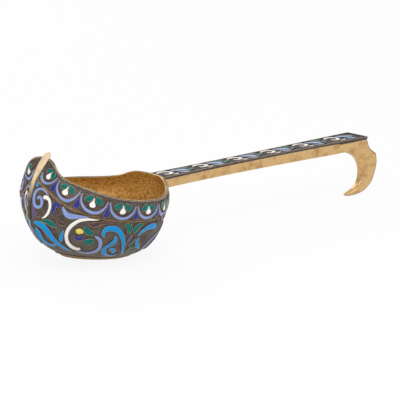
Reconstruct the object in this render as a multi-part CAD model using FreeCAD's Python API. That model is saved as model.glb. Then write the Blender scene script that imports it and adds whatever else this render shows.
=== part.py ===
import FreeCAD
import Part
import math
import os
from FreeCAD import Vector

# A long-handled drinking ladle of gilt metal in the old boat shape, covered with cell enamel.
# All sizes are millimetres. The piece is drawn on the bench: the foot's flat underside lies on z = 0,
# the prow points to -X, the handle to +X and the near side to -Y. At the end it is laid down as it
# rests on a table, on the back edge of its foot and on the lowest part of its hook.

# Bowl: three level curves run round the body, and the foot is an oval.
foot_half_length = 14.6
foot_half_width = 9.6
foot_height = 0.7
foot_ring_width = 2.2
foot_inset = 0.4
wall = 0.8
rim_prow_x = -26.7
rim_stern_x = 27.0
rim_half_width = 23.1
rim_height = 24.1
rim_prow_rise = 12.2
rim_stern_rise = 4.3
frieze_prow_reach = 5.1
frieze_stern_tuck = 0.8
frieze_side_tuck = 0.7
frieze_height = 7.6
line_prow_rise = 12.9
line_stern_rise = 2.9
belly_prow_reach = 6.2
belly_stern_tuck = 1.2
belly_side_tuck = 2.1
belly_height = 13.3
low_prow_rise = 5.0
low_stern_rise = 2.0
line_prow_x = rim_prow_x - frieze_prow_reach
line_stern_x = rim_stern_x - frieze_stern_tuck
line_half_width = rim_half_width - frieze_side_tuck
line_height = rim_height - frieze_height
low_prow_x = line_prow_x - belly_prow_reach
low_stern_x = line_stern_x - belly_stern_tuck
low_half_width = line_half_width - belly_side_tuck
low_height = line_height - belly_height
frieze_bulge = 1.5
frieze_bulge_prow = 1.0

# Shares of each level curve at its eleven stations, from the prow round the near side to the stern.
low_along_shares = (0, 0.077, 0.153, 0.258, 0.389, 0.548, 0.698, 0.829, 0.924, 0.979, 1)
low_width_shares = (0, 0.128, 0.32, 0.571, 0.847, 0.985, 1, 0.833, 0.576, 0.305, 0)
low_rise_shares = (1, 0.6, 0.36, 0.17, 0.06, 0, 0, 0.2, 0.6, 0.9, 1)
line_along_shares = (0, 0.028, 0.072, 0.146, 0.31, 0.488, 0.66, 0.807, 0.915, 0.978, 1)
line_width_shares = (0, 0.205, 0.448, 0.7, 0.888, 1, 1, 0.83, 0.571, 0.304, 0)
line_rise_shares = (1, 0.722, 0.43, 0.226, 0.039, 0, 0.14, 0.38, 0.69, 0.93, 1)
rim_along_shares = (0, -0.031, -0.013, 0.087, 0.231, 0.423, 0.616, 0.769, 0.892, 0.943, 1)
rim_width_shares = (0, 0.224, 0.395, 0.608, 0.892, 1, 0.996, 0.81, 0.55, 0.329, 0)
rim_rise_shares = (1, 0.908, 0.575, 0.323, 0.123, 0, 0.02, 0.16, 0.49, 1, 1)
station_count = 10
waist_station = 5
step_share = 0.002
ridge_search = 2
halvings = 40
neck_ramp_share = 0.25
skin_column_count = 41
belly_row_count = 9
frieze_row_count = 6

# Strips and wires soldered on the bowl.
seat_gap = 0.04
strip_seat_gap = 0.1
rim_band_height = 0.4
rim_band_thick = 0.3
rope_wire_width = 0.5
rope_wire_thick = 0.45
border_wire_width = 0.4
border_wire_thick = 0.4
base_wire_share = 0.06
strip_thick = 0.7
strip_half_widths = (0.3, 0.5, 0.75, 1.15, 1.55, 1.9, 2.1)
strip_height_shares = (0.6, 0.75, 0.9, 1.1, 1.5, 2.0, 2.2)
strip_gable_drop = 0.9
strip_section_count = 14
root_section_count = 6
handle_side_margin = 0.3
band_section_count = 44

# Handle: a folded channel closed by a flat enamelled plate.
handle_root_x = 29.5
handle_root_over_rim = 3.65
handle_root_z = rim_height + handle_root_over_rim
handle_end_x = 138.4
handle_end_over_root = 12.45
handle_end_z = handle_root_z + handle_end_over_root
handle_crown = 0.15
handle_root_half_width = 4.45
handle_waist_half_width = 3.7
handle_waist_share = 0.3
handle_end_half_width = 5.35
handle_middle_half_width = 4.2
handle_middle_share = 0.65
handle_root_depth = 3.8
handle_end_depth = 4.7
handle_wall = 0.6
plate_thick = 0.6
handle_blank_reach = 6.0
handle_wire_width = 0.5
handle_wire_thick = 0.3
root_seat_gap = 0.03

# Hook: cast in one piece with a tenon that fills the end of the channel.
hook_neck_length = 16.0
hook_drop = 24.1
hook_neck_share = 0.5
hook_neck_rise = 0.25
hook_neck_width_share = 0.84
hook_inner_shares = ((-0.282, -0.273, 0.54), (-0.086, -0.329, 0.3), (0.033, -0.41, 0.225),
                     (0.103, -0.513, 0.215), (0.142, -0.615, 0.225), (0.145, -0.733, 0.235),
                     (0.111, -0.816, 0.225), (0.028, -0.889, 0.195), (-0.08, -0.938, 0.16),
                     (-0.149, -0.967, 0.11), (-0.175, -0.983, 0.07))
hook_cove_shares = ((0.041, -0.091, 0.97), (0.116, -0.187, 0.93))
hook_back_shares = ((0.303, -0.282, 0.86), (0.372, -0.435, 0.75), (0.389, -0.618, 0.6), (0.349, -0.79, 0.47),
                    (0.221, -0.924, 0.355), (0.033, -0.993, 0.245), (-0.129, -1.012, 0.15),
                    (-0.172, -1.003, 0.07))
hook_span_count = 4
tenon_length = 6.0
tenon_gap = 0.05

# Enamel: each cell is a tile that follows the metal below it.
enamel_thick = 0.4
enamel_gap = 0.05
stroke_width = 1.0

# Frieze: a scallop stands between two edges that lean along the stations with the height. Its rows hold the
# share from edge to edge, the height and the share of an ordinary stroke's width.
scallop_edge_shares = (0.36, 1.56, 2.89, 3.94, 5.0, 6.0, 7.0, 8.05, 9.1)
scallop_lean_shares = (0.75, 0.75, 0.29, 0.08, 0, 0, 0, 0, 0)
scallop_lift_shares = (0.05, 0.06, 0.01, 0, 0, 0, 0, 0, 0)
scallop_size_shares = (0.8, 0.93, 0.96, 1, 1, 1, 0.88, 0.68, 0.5)
scallop_lean_height_share = 1.4
scallop_shares = ((0.04, 1.74, 0.3), (0.08, 1.53, 0.55), (0.16, 1.34, 0.85), (0.33, 1.18, 1.1),
                  (0.52, 1.13, 1.2), (0.7, 1.18, 1.1), (0.84, 1.34, 0.85), (0.92, 1.53, 0.55),
                  (0.96, 1.74, 0.3))
first_scallop_shares = ((0.09, 1.386, 0.5), (0.2, 1.214, 1.1), (0.37, 1.13, 1.2), (0.55, 1.136, 1.2),
                        (0.725, 1.244, 1.0), (0.84, 1.424, 0.8), (0.885, 1.6, 0.6), (0.905, 1.76, 0.3))
drop_shares = ((0.5, 1.325, 1.1), (0.5, 1.37, 2.1), (0.5, 1.44, 2.5), (0.5, 1.52, 1.7), (0.5, 1.59, 0.8),
               (0.5, 1.66, 0.5), (0.5, 1.72, 0.2))
near_leaf_shares = ((0.19, 1.61, 0.4), (0.26, 1.6, 1.6), (0.33, 1.63, 2.1), (0.39, 1.71, 1.6), (0.43, 1.8, 0.6))
far_leaf_shares = ((0.57, 1.8, 0.6), (0.61, 1.71, 1.6), (0.68, 1.63, 2.1), (0.75, 1.585, 1.6), (0.81, 1.57, 0.4))
cobalt_drop_shares = ((0, 1.09, 1.2), (0, 1.13, 1.9), (0, 1.2, 2.2), (0, 1.3, 1.9), (0, 1.4, 1.2),
                      (0, 1.52, 0.6), (0, 1.68, 0.2))

# Scrolls of the belly, near side: station round the bowl, share of the height from foot (0) to line (1),
# and share of an ordinary stroke's width.
white_stroke_shares = (
    ((1.0, 0.912, 0.9), (1.08, 0.934, 1.6), (1.23, 0.943, 1.4), (1.37, 0.937, 1.2), (1.45, 0.905, 1.1),
     (1.46, 0.863, 1.0), (1.38, 0.8, 1.0), (1.2, 0.742, 0.8), (1.0, 0.706, 0.4)),
    ((3.7, 0.976, 0.2), (3.5, 0.958, 0.8), (3.32, 0.945, 1.1), (3.1, 0.912, 1.3), (2.92, 0.868, 1.4),
     (2.72, 0.798, 1.5), (2.56, 0.718, 1.4), (2.46, 0.63, 1.35), (2.43, 0.55, 1.4), (2.46, 0.468, 1.6),
     (2.6, 0.4, 1.8), (2.82, 0.38, 1.7), (3.0, 0.405, 1.3)),
)
pale_stroke_shares = (
    ((1.28, 0.968, 0.3), (1.05, 0.98, 0.6), (0.78, 0.975, 0.8), (0.54, 0.95, 0.9), (0.37, 0.913, 1.0),
     (0.3, 0.873, 1.0), (0.3, 0.83, 1.0), (0.37, 0.793, 1.1), (0.54, 0.783, 1.2), (0.75, 0.8, 1.2),
     (0.89, 0.833, 1.05), (0.92, 0.868, 1.1), (0.84, 0.892, 1.1), (0.7, 0.895, 1.0), (0.6, 0.88, 0.8),
     (0.58, 0.86, 0.4)),
    ((2.2, 0.978, 0.4), (2.2, 0.958, 1.0), (2.28, 0.936, 1.4), (2.42, 0.912, 2.0), (2.6, 0.908, 2.1),
     (2.78, 0.922, 1.9), (2.99, 0.942, 1.4), (3.18, 0.96, 0.8), (3.32, 0.975, 0.3)),
    ((3.64, 0.722, 0.5), (3.74, 0.705, 1.1), (3.85, 0.66, 1.3), (3.89, 0.59, 1.3), (3.86, 0.49, 1.3),
     (3.72, 0.4, 1.4), (3.47, 0.33, 1.3), (3.2, 0.294, 1.1), (2.94, 0.296, 0.9), (2.68, 0.318, 0.4)),
    ((6.88, 0.75, 0.4), (6.6, 0.712, 0.8), (6.37, 0.65, 1.0), (6.21, 0.57, 1.0), (6.14, 0.48, 0.9),
     (6.2, 0.4, 0.4)),
)
azure_stroke_shares = (
    ((0.3, 0.984, 0.4), (0.33, 0.976, 1.1), (0.37, 0.968, 1.2), (0.39, 0.958, 0.5)),
    ((0.25, 0.572, 0.6), (0.42, 0.595, 1.6), (0.68, 0.604, 2.1), (1.0, 0.606, 2.3), (1.24, 0.569, 2.3),
     (1.41, 0.508, 2.2), (1.6, 0.45, 1.9), (1.8, 0.387, 1.7), (2.04, 0.328, 1.4), (2.36, 0.284, 0.4)),
    ((0.33, 0.525, 0.6), (0.34, 0.492, 1.4), (0.36, 0.45, 1.6), (0.38, 0.395, 1.4), (0.5, 0.338, 1.4),
     (0.8, 0.31, 1.4), (1.2, 0.328, 1.5), (1.52, 0.37, 0.7)),
    ((2.34, 0.69, 0.3), (2.21, 0.61, 1.2), (2.1, 0.525, 1.4), (2.02, 0.465, 0.7)),
    ((3.99, 0.73, 0.5), (3.94, 0.768, 1.2), (3.93, 0.812, 1.5), (3.99, 0.856, 1.9), (4.14, 0.884, 2.2),
     (4.33, 0.882, 2.1), (4.51, 0.84, 1.9), (4.66, 0.765, 1.7), (4.79, 0.664, 1.5), (4.88, 0.545, 1.2),
     (4.98, 0.41, 0.9), (5.09, 0.3, 0.4)),
    ((4.38, 0.765, 0.7), (4.43, 0.721, 1.4), (4.41, 0.666, 1.7), (4.33, 0.605, 1.7), (4.22, 0.557, 1.5),
     (4.11, 0.512, 1.5), (4.05, 0.45, 1.7), (4.07, 0.375, 1.6), (4.17, 0.305, 1.4), (4.38, 0.26, 1.2),
     (4.6, 0.268, 1.0), (4.74, 0.325, 0.4)),
    ((4.28, 0.47, 0.8), (4.39, 0.483, 1.5), (4.5, 0.452, 1.6), (4.54, 0.395, 1.3), (4.49, 0.35, 0.4)),
    ((6.26, 0.868, 1.0), (6.12, 0.886, 2.2), (5.93, 0.897, 2.2), (5.74, 0.887, 1.9), (5.58, 0.858, 1.5),
     (5.44, 0.815, 1.2), (5.33, 0.768, 0.5)),
    ((5.42, 0.735, 0.5), (5.42, 0.672, 1.3), (5.51, 0.592, 1.5), (5.67, 0.518, 1.3), (5.86, 0.468, 0.4)),
)
teal_stroke_shares = (
    ((0.9, 0.667, 0.3), (1.22, 0.692, 1.4), (1.52, 0.705, 2.0), (1.76, 0.701, 1.8), (1.95, 0.682, 0.4)),
    ((3.25, 0.845, 0.5), (3.29, 0.807, 1.6), (3.39, 0.776, 2.1), (3.5, 0.758, 2.0), (3.59, 0.754, 0.7)),
    ((3.28, 0.618, 0.6), (3.34, 0.604, 2.2), (3.43, 0.598, 3.2), (3.53, 0.628, 2.4), (3.59, 0.665, 0.5)),
    ((4.64, 0.958, 0.4), (4.78, 0.938, 1.6), (4.88, 0.9, 2.0), (4.9, 0.855, 1.8), (4.88, 0.81, 0.4)),
    ((5.45, 0.945, 0.4), (5.3, 0.935, 1.6), (5.2, 0.905, 2.1), (5.14, 0.858, 1.8), (5.13, 0.812, 0.4)),
    ((5.36, 0.37, 0.4), (5.25, 0.43, 1.0), (5.24, 0.49, 1.1), (5.35, 0.525, 1.1), (5.5, 0.505, 0.4)),
    ((5.3, 0.715, 0.3), (5.24, 0.665, 0.8), (5.17, 0.61, 0.9), (5.12, 0.555, 0.3)),
)
cobalt_stroke_shares = (
    ((1.99, 0.938, 0.8), (1.91, 0.955, 1.4), (1.78, 0.957, 1.5), (1.71, 0.93, 1.5), (1.69, 0.888, 1.2),
     (1.66, 0.845, 0.9), (1.6, 0.803, 0.3)),
    ((2.84, 0.652, 0.5), (2.93, 0.624, 1.5), (3.04, 0.62, 2.2), (3.15, 0.642, 2.2), (3.24, 0.66, 0.5)),
)
lilac_stroke_shares = (
    ((0.28, 0.765, 0.4), (0.34, 0.728, 1.1), (0.35, 0.68, 1.2), (0.28, 0.635, 0.4)),
    ((5.04, 0.79, 0.4), (5.03, 0.748, 1.2), (5.01, 0.688, 1.1), (4.98, 0.625, 0.3)),
    ((6.56, 0.975, 0.3), (6.68, 0.955, 1.2), (6.8, 0.92, 0.3)),
)
maroon_stroke_shares = (
    ((0.53, 0.715, 0.4), (0.69, 0.71, 1.3), (0.86, 0.712, 0.5)),
    ((2.0, 0.819, 0.5), (2.06, 0.79, 1.3), (2.21, 0.772, 1.5), (2.36, 0.782, 1.1), (2.46, 0.808, 0.4)),
    ((3.36, 0.9, 0.5), (3.48, 0.886, 1.5), (3.61, 0.898, 2.0), (3.75, 0.928, 1.5), (3.9, 0.95, 1.1),
     (4.05, 0.96, 0.7), (4.18, 0.958, 0.3)),
)
yellow_stroke_shares = (
    ((2.91, 0.752, 0.7), (2.98, 0.748, 2.1), (3.06, 0.745, 2.5), (3.14, 0.738, 2.0), (3.19, 0.728, 0.5)),
)
flower_mirror_station = 10.9
leaf_mirror_station = 13.85
flower_range_shares = (2.35, 3.95)
leaf_range_shares = (3.88, 5.3)

# Handle enamel: share of the pitch along, share of the half width across, share of a stroke's width.
handle_repeat_margin = 4.0
handle_repeat_pitch = 18.2
handle_stroke_width = 1.0
handle_white_shares = (
    ((-0.2, 0.35, 0.5), (-0.12, 0.58, 1.1), (0, 0.6, 1.3), (0.09, 0.38, 1.4), (0.11, 0, 1.4), (0.03, -0.3, 1.2),
     (-0.07, -0.28, 1.0), (-0.1, 0, 0.6)),
    ((0.02, -0.62, 0.4), (0.1, -0.66, 1.0), (0.18, -0.6, 0.5)),
)
handle_pale_shares = (
    ((0.2, 0.5, 0.5), (0.28, 0.42, 1.6), (0.38, 0.2, 2.2), (0.48, -0.02, 1.9), (0.56, -0.14, 0.6)),
    ((0.25, -0.3, 0.4), (0.32, -0.5, 1.2), (0.42, -0.6, 1.3), (0.5, -0.6, 0.4)),
)
handle_teal_shares = (
    ((0.42, 0.64, 0.4), (0.52, 0.55, 1.4), (0.62, 0.5, 1.4), (0.7, 0.58, 0.4)),
    ((0.56, -0.45, 0.4), (0.62, -0.2, 1.4), (0.7, 0.02, 1.4), (0.76, 0.16, 0.4)),
)

hook_joint_x = handle_end_x - hook_neck_length
overrun = 60.0
sew_tolerance = 0.01
mesh_step = 0.05
rest_turns = 20


def level_stations(along, width, rise, prow_x, stern_x, half_width, height, prow_rise, stern_rise):
    """Points of one level curve, prow to prow: the near half, then the far half mirrored."""
    near = []
    for index in range(station_count + 1):
        x = prow_x + (stern_x - prow_x) * along[index]
        lift = (prow_rise if index < waist_station else stern_rise) * rise[index]
        near.append(Vector(x, -half_width * width[index], height + lift))
    far = [Vector(p.x, -p.y, p.z) for p in reversed(near[:-1])]
    return near + far


def natural_slopes(points):
    """Slopes of the natural cubic spline through points at unit steps."""
    last = len(points) - 1
    scale = []
    slopes = []
    for index in range(last + 1):
        after = points[min(index + 1, last)]
        before = points[max(index - 1, 0)]
        diagonal = 2 if index in (0, last) else 4
        right = (after - before) * 3
        if index > 0:
            diagonal -= scale[-1]
            right -= slopes[-1]
        scale.append(1 / diagonal)
        slopes.append(right * scale[-1])
    for index in range(last - 1, -1, -1):
        slopes[index] -= slopes[index + 1] * scale[index]
    return slopes


low_stations = level_stations(low_along_shares, low_width_shares, low_rise_shares, low_prow_x, low_stern_x,
                              low_half_width, low_height, low_prow_rise, low_stern_rise)
line_stations = level_stations(line_along_shares, line_width_shares, line_rise_shares, line_prow_x,
                               line_stern_x, line_half_width, line_height, line_prow_rise, line_stern_rise)
rim_stations = level_stations(rim_along_shares, rim_width_shares, rim_rise_shares, rim_prow_x, rim_stern_x,
                              rim_half_width, rim_height, rim_prow_rise, rim_stern_rise)
low_slopes = natural_slopes(low_stations)
line_slopes = natural_slopes(line_stations)
rim_slopes = natural_slopes(rim_stations)


def on_level(stations, slopes, station):
    """Point of a level curve at any station."""
    index = min(int(station), len(stations) - 2)
    f = station - index
    start = stations[index] * (2 * f ** 3 - 3 * f ** 2 + 1) + slopes[index] * (f ** 3 - 2 * f ** 2 + f)
    end = stations[index + 1] * (3 * f ** 2 - 2 * f ** 3) + slopes[index + 1] * (f ** 3 - f ** 2)
    return start + end


def on_foot(station):
    """Point of the oval where the bowl meets its foot."""
    angle = math.pi * station / station_count
    return Vector(-foot_half_length * math.cos(angle), -foot_half_width * math.sin(angle), foot_height)


def on_neck(station):
    """Point that pulls the frieze outward between the line and the rim."""
    middle = (on_level(line_stations, line_slopes, station) + on_level(rim_stations, rim_slopes, station)) / 2
    outward = Vector(middle.x, middle.y, 0)
    outward.normalize()
    full = min(1, min(station, 2 * station_count - station) / (station_count * neck_ramp_share))
    return middle + outward * (frieze_bulge_prow + (frieze_bulge - frieze_bulge_prow) * full)


def bowl_skin(station, height):
    """Point of the outer skin: height 0 at the foot, 1 at the line, 2 at the rim."""
    line = on_level(line_stations, line_slopes, station)
    if height <= 1:
        first, pull, last, share = on_foot(station), on_level(low_stations, low_slopes, station), line, height
    else:
        first, pull, share = line, on_neck(station), height - 1
        last = on_level(rim_stations, rim_slopes, station)
    return first * (1 - share) ** 2 + pull * (2 * share * (1 - share)) + last * share ** 2


def skin_directions(station, height):
    """Unit vectors of the skin along the stations, upward and outward."""
    before = max(station - step_share, 0)
    after = min(station + step_share, station_count)
    top = 1 if height <= 1 else 2
    above = min(height + step_share, top) if height <= 1 else height + step_share
    below = max(height - step_share, top - 1)
    along = bowl_skin(after, height) - bowl_skin(before, height)
    upward = bowl_skin(station, above) - bowl_skin(station, below)
    along.normalize()
    upward.normalize()
    outward = along.cross(upward)
    if station == 0 or station == station_count:
        outward.y = 0
    outward.normalize()
    return along, upward, outward


def raised(station, height, lift):
    """Point at a distance above the skin, or below it with a minus sign."""
    return bowl_skin(station, height) + skin_directions(station, height)[2] * lift


def flipped(point):
    """Point's mirror image on the far side."""
    return Vector(point.x, -point.y, point.z)


def mirrored(shape):
    """Copy of a shape on the far side of the middle plane."""
    return shape.mirror(Vector(0, 0, 0), Vector(0, 1, 0))


def both_sides(shapes):
    """Shapes of the near side and their mirror images as one group."""
    return Part.makeCompound(list(shapes) + [mirrored(shape) for shape in shapes])


def section_wire(corners):
    """Closed straight-sided wire."""
    return Part.makePolygon(list(corners) + [corners[0]])


def ruled_body(sections):
    """Solid through a row of sections with straight runs between them."""
    return Part.makeLoft([section_wire(corners) for corners in sections], True, True)


def spread(first, last, count):
    """Evenly spaced values with both ends."""
    return [first + (last - first) * index / (count - 1) for index in range(count)]


def even_curve(points):
    """Smooth curve that reaches its points at even steps."""
    curve = Part.BSplineCurve()
    curve.interpolate(Points=points, Parameters=spread(0, 1, len(points)))
    return curve


def patch(rows):
    """Smooth face through a grid of points, whose edges depend only on their own rows."""
    curves = [even_curve(row) for row in rows]
    columns = [even_curve(list(points)) for points in zip(*[curve.getPoles() for curve in curves])]
    poles = [column.getPoles() for column in columns]
    surface = Part.BSplineSurface()
    surface.buildFromPolesMultsKnots(poles, curves[0].getMultiplicities(), columns[0].getMultiplicities(),
                                     curves[0].getKnots(), columns[0].getKnots(), False, False,
                                     curves[0].Degree, columns[0].Degree)
    return surface.toShape()


def edge_through(points):
    """Smooth edge through a row of points."""
    curve = Part.BSplineCurve()
    curve.interpolate(points)
    return curve.toShape()


def ridge_start(height, lift):
    """Station where a raised skin meets the middle plane at the prow."""
    low, high = step_share, ridge_search
    if raised(low, height, lift).y <= 0:
        return 0
    for turn in range(halvings):
        middle = (low + high) / 2
        if raised(middle, height, lift).y > 0:
            low = middle
        else:
            high = middle
    return high


def skin_grids(lift, floor_z):
    """Belly and frieze points of one skin of the near half, with the bottom row flat at floor_z."""
    grids = []
    for first, last, rows in ((0, 1, belly_row_count), (1, 2, frieze_row_count)):
        grid = []
        for height in spread(first, last, rows):
            row = [raised(station, height, lift)
                   for station in spread(ridge_start(height, lift), station_count, skin_column_count)]
            if height == 0:
                row = [Vector(p.x, p.y, floor_z) for p in row]
            row[0].y = 0
            row[-1].y = 0
            grid.append(row)
        grids.append(grid)
    return grids


def level_face(row):
    """Flat face between a row of points at one height and its mirror image."""
    edge = even_curve(row).toShape()
    return Part.Face(Part.Wire([edge, mirrored(edge)]))


def closed_body(faces):
    """Solid bounded by faces that meet edge to edge."""
    shell = Part.makeShell(faces)
    shell.sewShape(sew_tolerance)
    solid = Part.Solid(shell.Shells[0] if shell.Shells else shell)
    if solid.Volume < 0:
        solid.reverse()
    return solid


def make_bowl_shell():
    """The raised bowl: outer skin, inner skin, the cut edge at the rim and the flat bottom."""
    outer = skin_grids(0, foot_height)
    inner = skin_grids(-wall, foot_height + wall)
    near = [patch(grid) for grid in outer + inner]
    near.append(patch([outer[-1][-1], inner[-1][-1]]))
    faces = near + [mirrored(face) for face in near]
    faces += [level_face(grids[0][0]) for grids in (outer, inner)]
    return closed_body(faces)


def make_root_tool():
    """What the handle's root has to clear: the bowl filled up to its rim, and the moulding round its stern."""
    outer = skin_grids(root_seat_gap, foot_height)
    near = [patch(grid) for grid in outer]
    rim = even_curve(outer[-1][-1]).toShape()
    faces = near + [mirrored(face) for face in near]
    faces += [Part.makeRuledSurface(rim, mirrored(rim)), level_face(outer[0][0])]
    reach = handle_root_half_width + handle_blank_reach
    stern = Part.makeBox(overrun, 2 * reach, overrun, Vector(0, -reach, foot_height))
    band = band_on_skin(handle_side_station() - handle_side_margin, station_count, 2, 0,
                        rim_band_height + root_seat_gap, rim_band_thick + root_seat_gap, root_section_count)
    return closed_body(faces).common(stern).fuse([band, mirrored(band)])


def oval(half_length, half_width, bottom, height):
    """Upright oval block about the foot's centre."""
    ellipse = Part.Ellipse(Vector(0, 0, bottom), half_length, half_width)
    return Part.Face(Part.Wire(ellipse.toShape())).extrude(Vector(0, 0, height))


def make_foot_ring():
    """Flat oval ring soldered under the bowl."""
    length = foot_half_length - foot_inset
    width = foot_half_width - foot_inset
    ring = oval(length, width, 0, foot_height)
    return ring.cut(oval(length - foot_ring_width, width - foot_ring_width, -overrun, 2 * overrun))


def band_on_skin(first, last, top_height, drop, width, thick, count=band_section_count):
    """Flat strip on the near half between two stations, its top edge a drop below a height of the skin."""
    sections = []
    for station in spread(first, last, count):
        point = bowl_skin(station, top_height)
        along, upward, outward = skin_directions(station, top_height)
        low, high = point - upward * (drop + width), point - upward * drop
        sections.append((low + outward * seat_gap, low + outward * thick, high + outward * thick,
                         high + outward * seat_gap))
    return ruled_body(sections)


def handle_side_station():
    """Station where the skin reaches the side of the handle."""
    reach = handle_root_half_width + rope_wire_thick
    station = station_count
    while bowl_skin(station, 2).y > -reach:
        station -= step_share
    return station


def strip_side_station(height, distance):
    """Station at a distance from the prow's ridge."""
    step = (bowl_skin(step_share, height) - bowl_skin(0, height)).Length
    return distance / step * step_share


def make_rim_band():
    """Plain moulding round the outside of the rim, one length on each side."""
    start = strip_side_station(2, strip_half_width(2)) + step_share
    return both_sides([band_on_skin(start, station_count, 2, 0, rim_band_height, rim_band_thick)])


def make_rim_rope():
    """Twisted wire under the rim moulding, from the prow strip to the handle."""
    start = strip_side_station(2, strip_half_width(2)) + step_share
    return both_sides([band_on_skin(start, handle_side_station(), 2, rim_band_height + seat_gap, rope_wire_width,
                                    rope_wire_thick)])


def make_line_wire():
    """Wire along the line between the frieze and the belly, on the belly's side."""
    start = strip_side_station(1, strip_half_width(1) + strip_seat_gap) + step_share
    return both_sides([band_on_skin(start, station_count, 1, 0, border_wire_width, border_wire_thick)])


def make_base_wire():
    """Wire that closes the enamel above the foot."""
    return both_sides([band_on_skin(0, station_count, base_wire_share, 0, border_wire_width, border_wire_thick)])


def strip_half_width(height):
    """Half width of the prow strip, straight between its given heights."""
    index = 0
    while index < len(strip_height_shares) - 2 and height > strip_height_shares[index + 1]:
        index += 1
    low, high = strip_height_shares[index], strip_height_shares[index + 1]
    share = (height - low) / (high - low)
    return strip_half_widths[index] + (strip_half_widths[index + 1] - strip_half_widths[index]) * share


def make_prow_strip():
    """Plain strip over the ridge of the prow, widest at its pointed top."""
    sections = []
    for height in spread(strip_height_shares[0], strip_height_shares[-1], strip_section_count):
        ridge = bowl_skin(0, height)
        forward = skin_directions(0, height)[2]
        side = bowl_skin(strip_side_station(height, strip_half_width(height)), height) - ridge
        back = side.dot(forward)
        slope = Vector(-side.y, -back, 0)
        slope.normalize()
        low = ridge + forward * (back + slope.x * strip_seat_gap)
        low += Vector(0, side.y - slope.y * strip_seat_gap, 0)
        high = low + forward * (slope.x * strip_thick) - Vector(0, slope.y * strip_thick, 0)
        tip = ridge + forward * strip_thick
        keel = ridge + forward * (strip_seat_gap / slope.x)
        sections.append((low, high, tip, flipped(high), flipped(low), keel))
    peak = bowl_skin(0, strip_height_shares[-1])
    upward, forward = skin_directions(0, strip_height_shares[-1])[1:]
    width = strip_half_widths[-1]
    corner = peak + Vector(0, 2 * width, 0) - upward * (2 * strip_gable_drop)
    outline = section_wire((peak, corner, corner + upward * overrun, peak + upward * overrun))
    outline.translate(forward * -overrun)
    wedge = Part.Face(outline).extrude(forward * (2 * overrun))
    return ruled_body(sections).cut([wedge, mirrored(wedge)])


def handle_top(x):
    """Height of the handle's upper face: a straight line with a slight crown."""
    share = (x - handle_root_x) / (handle_end_x - handle_root_x)
    return handle_root_z + (handle_end_z - handle_root_z) * share + handle_crown * 4 * share * (1 - share)


def handle_bottom(x):
    """Height of the handle's underside."""
    share = (x - handle_root_x) / (handle_end_x - handle_root_x)
    return handle_top(x) - handle_root_depth - (handle_end_depth - handle_root_depth) * share


def handle_x(share):
    """Place along the handle."""
    return handle_root_x + (handle_end_x - handle_root_x) * share


def plan_points():
    """Places along the handle with its half width there."""
    return ((handle_root_x, handle_root_half_width), (handle_x(handle_waist_share), handle_waist_half_width),
            (handle_x(handle_middle_share), handle_middle_half_width), (handle_end_x, handle_end_half_width))


def handle_half_width(x):
    """Half width of the handle, straight between its given places."""
    for (first, near), (second, far) in zip(plan_points(), plan_points()[1:]):
        if x <= second:
            return near + (far - near) * (x - first) / (second - first)
    return handle_end_half_width


def plan_block(first_x, last_x, inset):
    """Upright block with the handle's plan between two places, drawn in by an inset on each side."""
    curve = Part.BSplineCurve()
    curve.interpolate([Vector(x, half_width - inset, 0) for x, half_width in plan_points()])
    far = curve.toShape()
    start = Vector(handle_root_x - handle_blank_reach, handle_root_half_width - inset, 0)
    finish = Vector(handle_end_x + overrun, handle_end_half_width - inset, 0)
    far_edges = [Part.makeLine(start, curve.StartPoint), far, Part.makeLine(curve.EndPoint, finish)]
    near_edges = [mirrored(edge) for edge in far_edges]
    ends = [Part.makeLine(start, Vector(start.x, -start.y, 0)),
            Part.makeLine(finish, Vector(finish.x, -finish.y, 0))]
    wire = Part.Wire(Part.__sortEdges__(far_edges + near_edges + ends))
    block = Part.Face(wire).extrude(Vector(0, 0, overrun))
    cutter = Part.makeBox(last_x - first_x, overrun, overrun, Vector(first_x, -overrun / 2, 0))
    return block.common(cutter)


def side_slab(first_x, last_x, top_drop, bottom_drop, top_from, bottom_from):
    """Slab across the handle between two curves given by a height rule and a drop."""
    places = spread(first_x, last_x, station_count + 1)
    top = edge_through([Vector(x, -overrun / 2, top_from(x) - top_drop) for x in places])
    bottom = edge_through([Vector(x, -overrun / 2, bottom_from(x) - bottom_drop) for x in places])
    ends = [Part.makeLine(top.Vertexes[index].Point, bottom.Vertexes[index].Point) for index in (0, 1)]
    wire = Part.Wire(Part.__sortEdges__([top, ends[1], bottom, ends[0]]))
    return Part.Face(wire).extrude(Vector(0, overrun, 0))


def make_handle_channel(block):
    """Folded channel: two sides and a bottom, shaped to the bowl at its root."""
    first = handle_root_x - handle_blank_reach
    outer = plan_block(first, hook_joint_x, 0).common(
        side_slab(first, hook_joint_x, plate_thick + seat_gap, 0, handle_top, handle_bottom))
    start = first - handle_blank_reach
    finish = hook_joint_x + handle_blank_reach
    hollow = plan_block(start, finish, handle_wall).common(
        side_slab(start, finish, -handle_blank_reach, -handle_wall, handle_top, handle_bottom))
    return outer.cut(hollow).cut(block)


def make_top_plate(block):
    """Flat plate that closes the channel and carries the handle's enamel."""
    first = handle_root_x - handle_blank_reach
    plate = plan_block(first, handle_end_x, 0).common(
        side_slab(first, handle_end_x, 0, plate_thick, handle_top, handle_top))
    return plate.cut(block)


def make_edge_wire(block, side):
    """Twisted wire along one long edge of the top plate."""
    first = handle_root_x - handle_blank_reach
    last = handle_end_x - handle_wire_width - seat_gap
    slab = side_slab(first, last, -handle_wire_thick, -seat_gap, handle_top, handle_top)
    outline = plan_block(first, last, 0).cut(plan_block(first - handle_blank_reach, last + handle_blank_reach,
                                                        handle_wire_width))
    half = Part.makeBox(overrun * 4, overrun, overrun, Vector(first - overrun, 0 if side > 0 else -overrun, 0))
    return outline.common(slab).common(half).cut(block)


def make_end_wire():
    """Wire across the end of the top plate."""
    first = handle_end_x - handle_wire_width
    slab = side_slab(first, handle_end_x, -handle_wire_thick, -seat_gap, handle_top, handle_top)
    return plan_block(first, handle_end_x, 0).common(slab)


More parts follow.
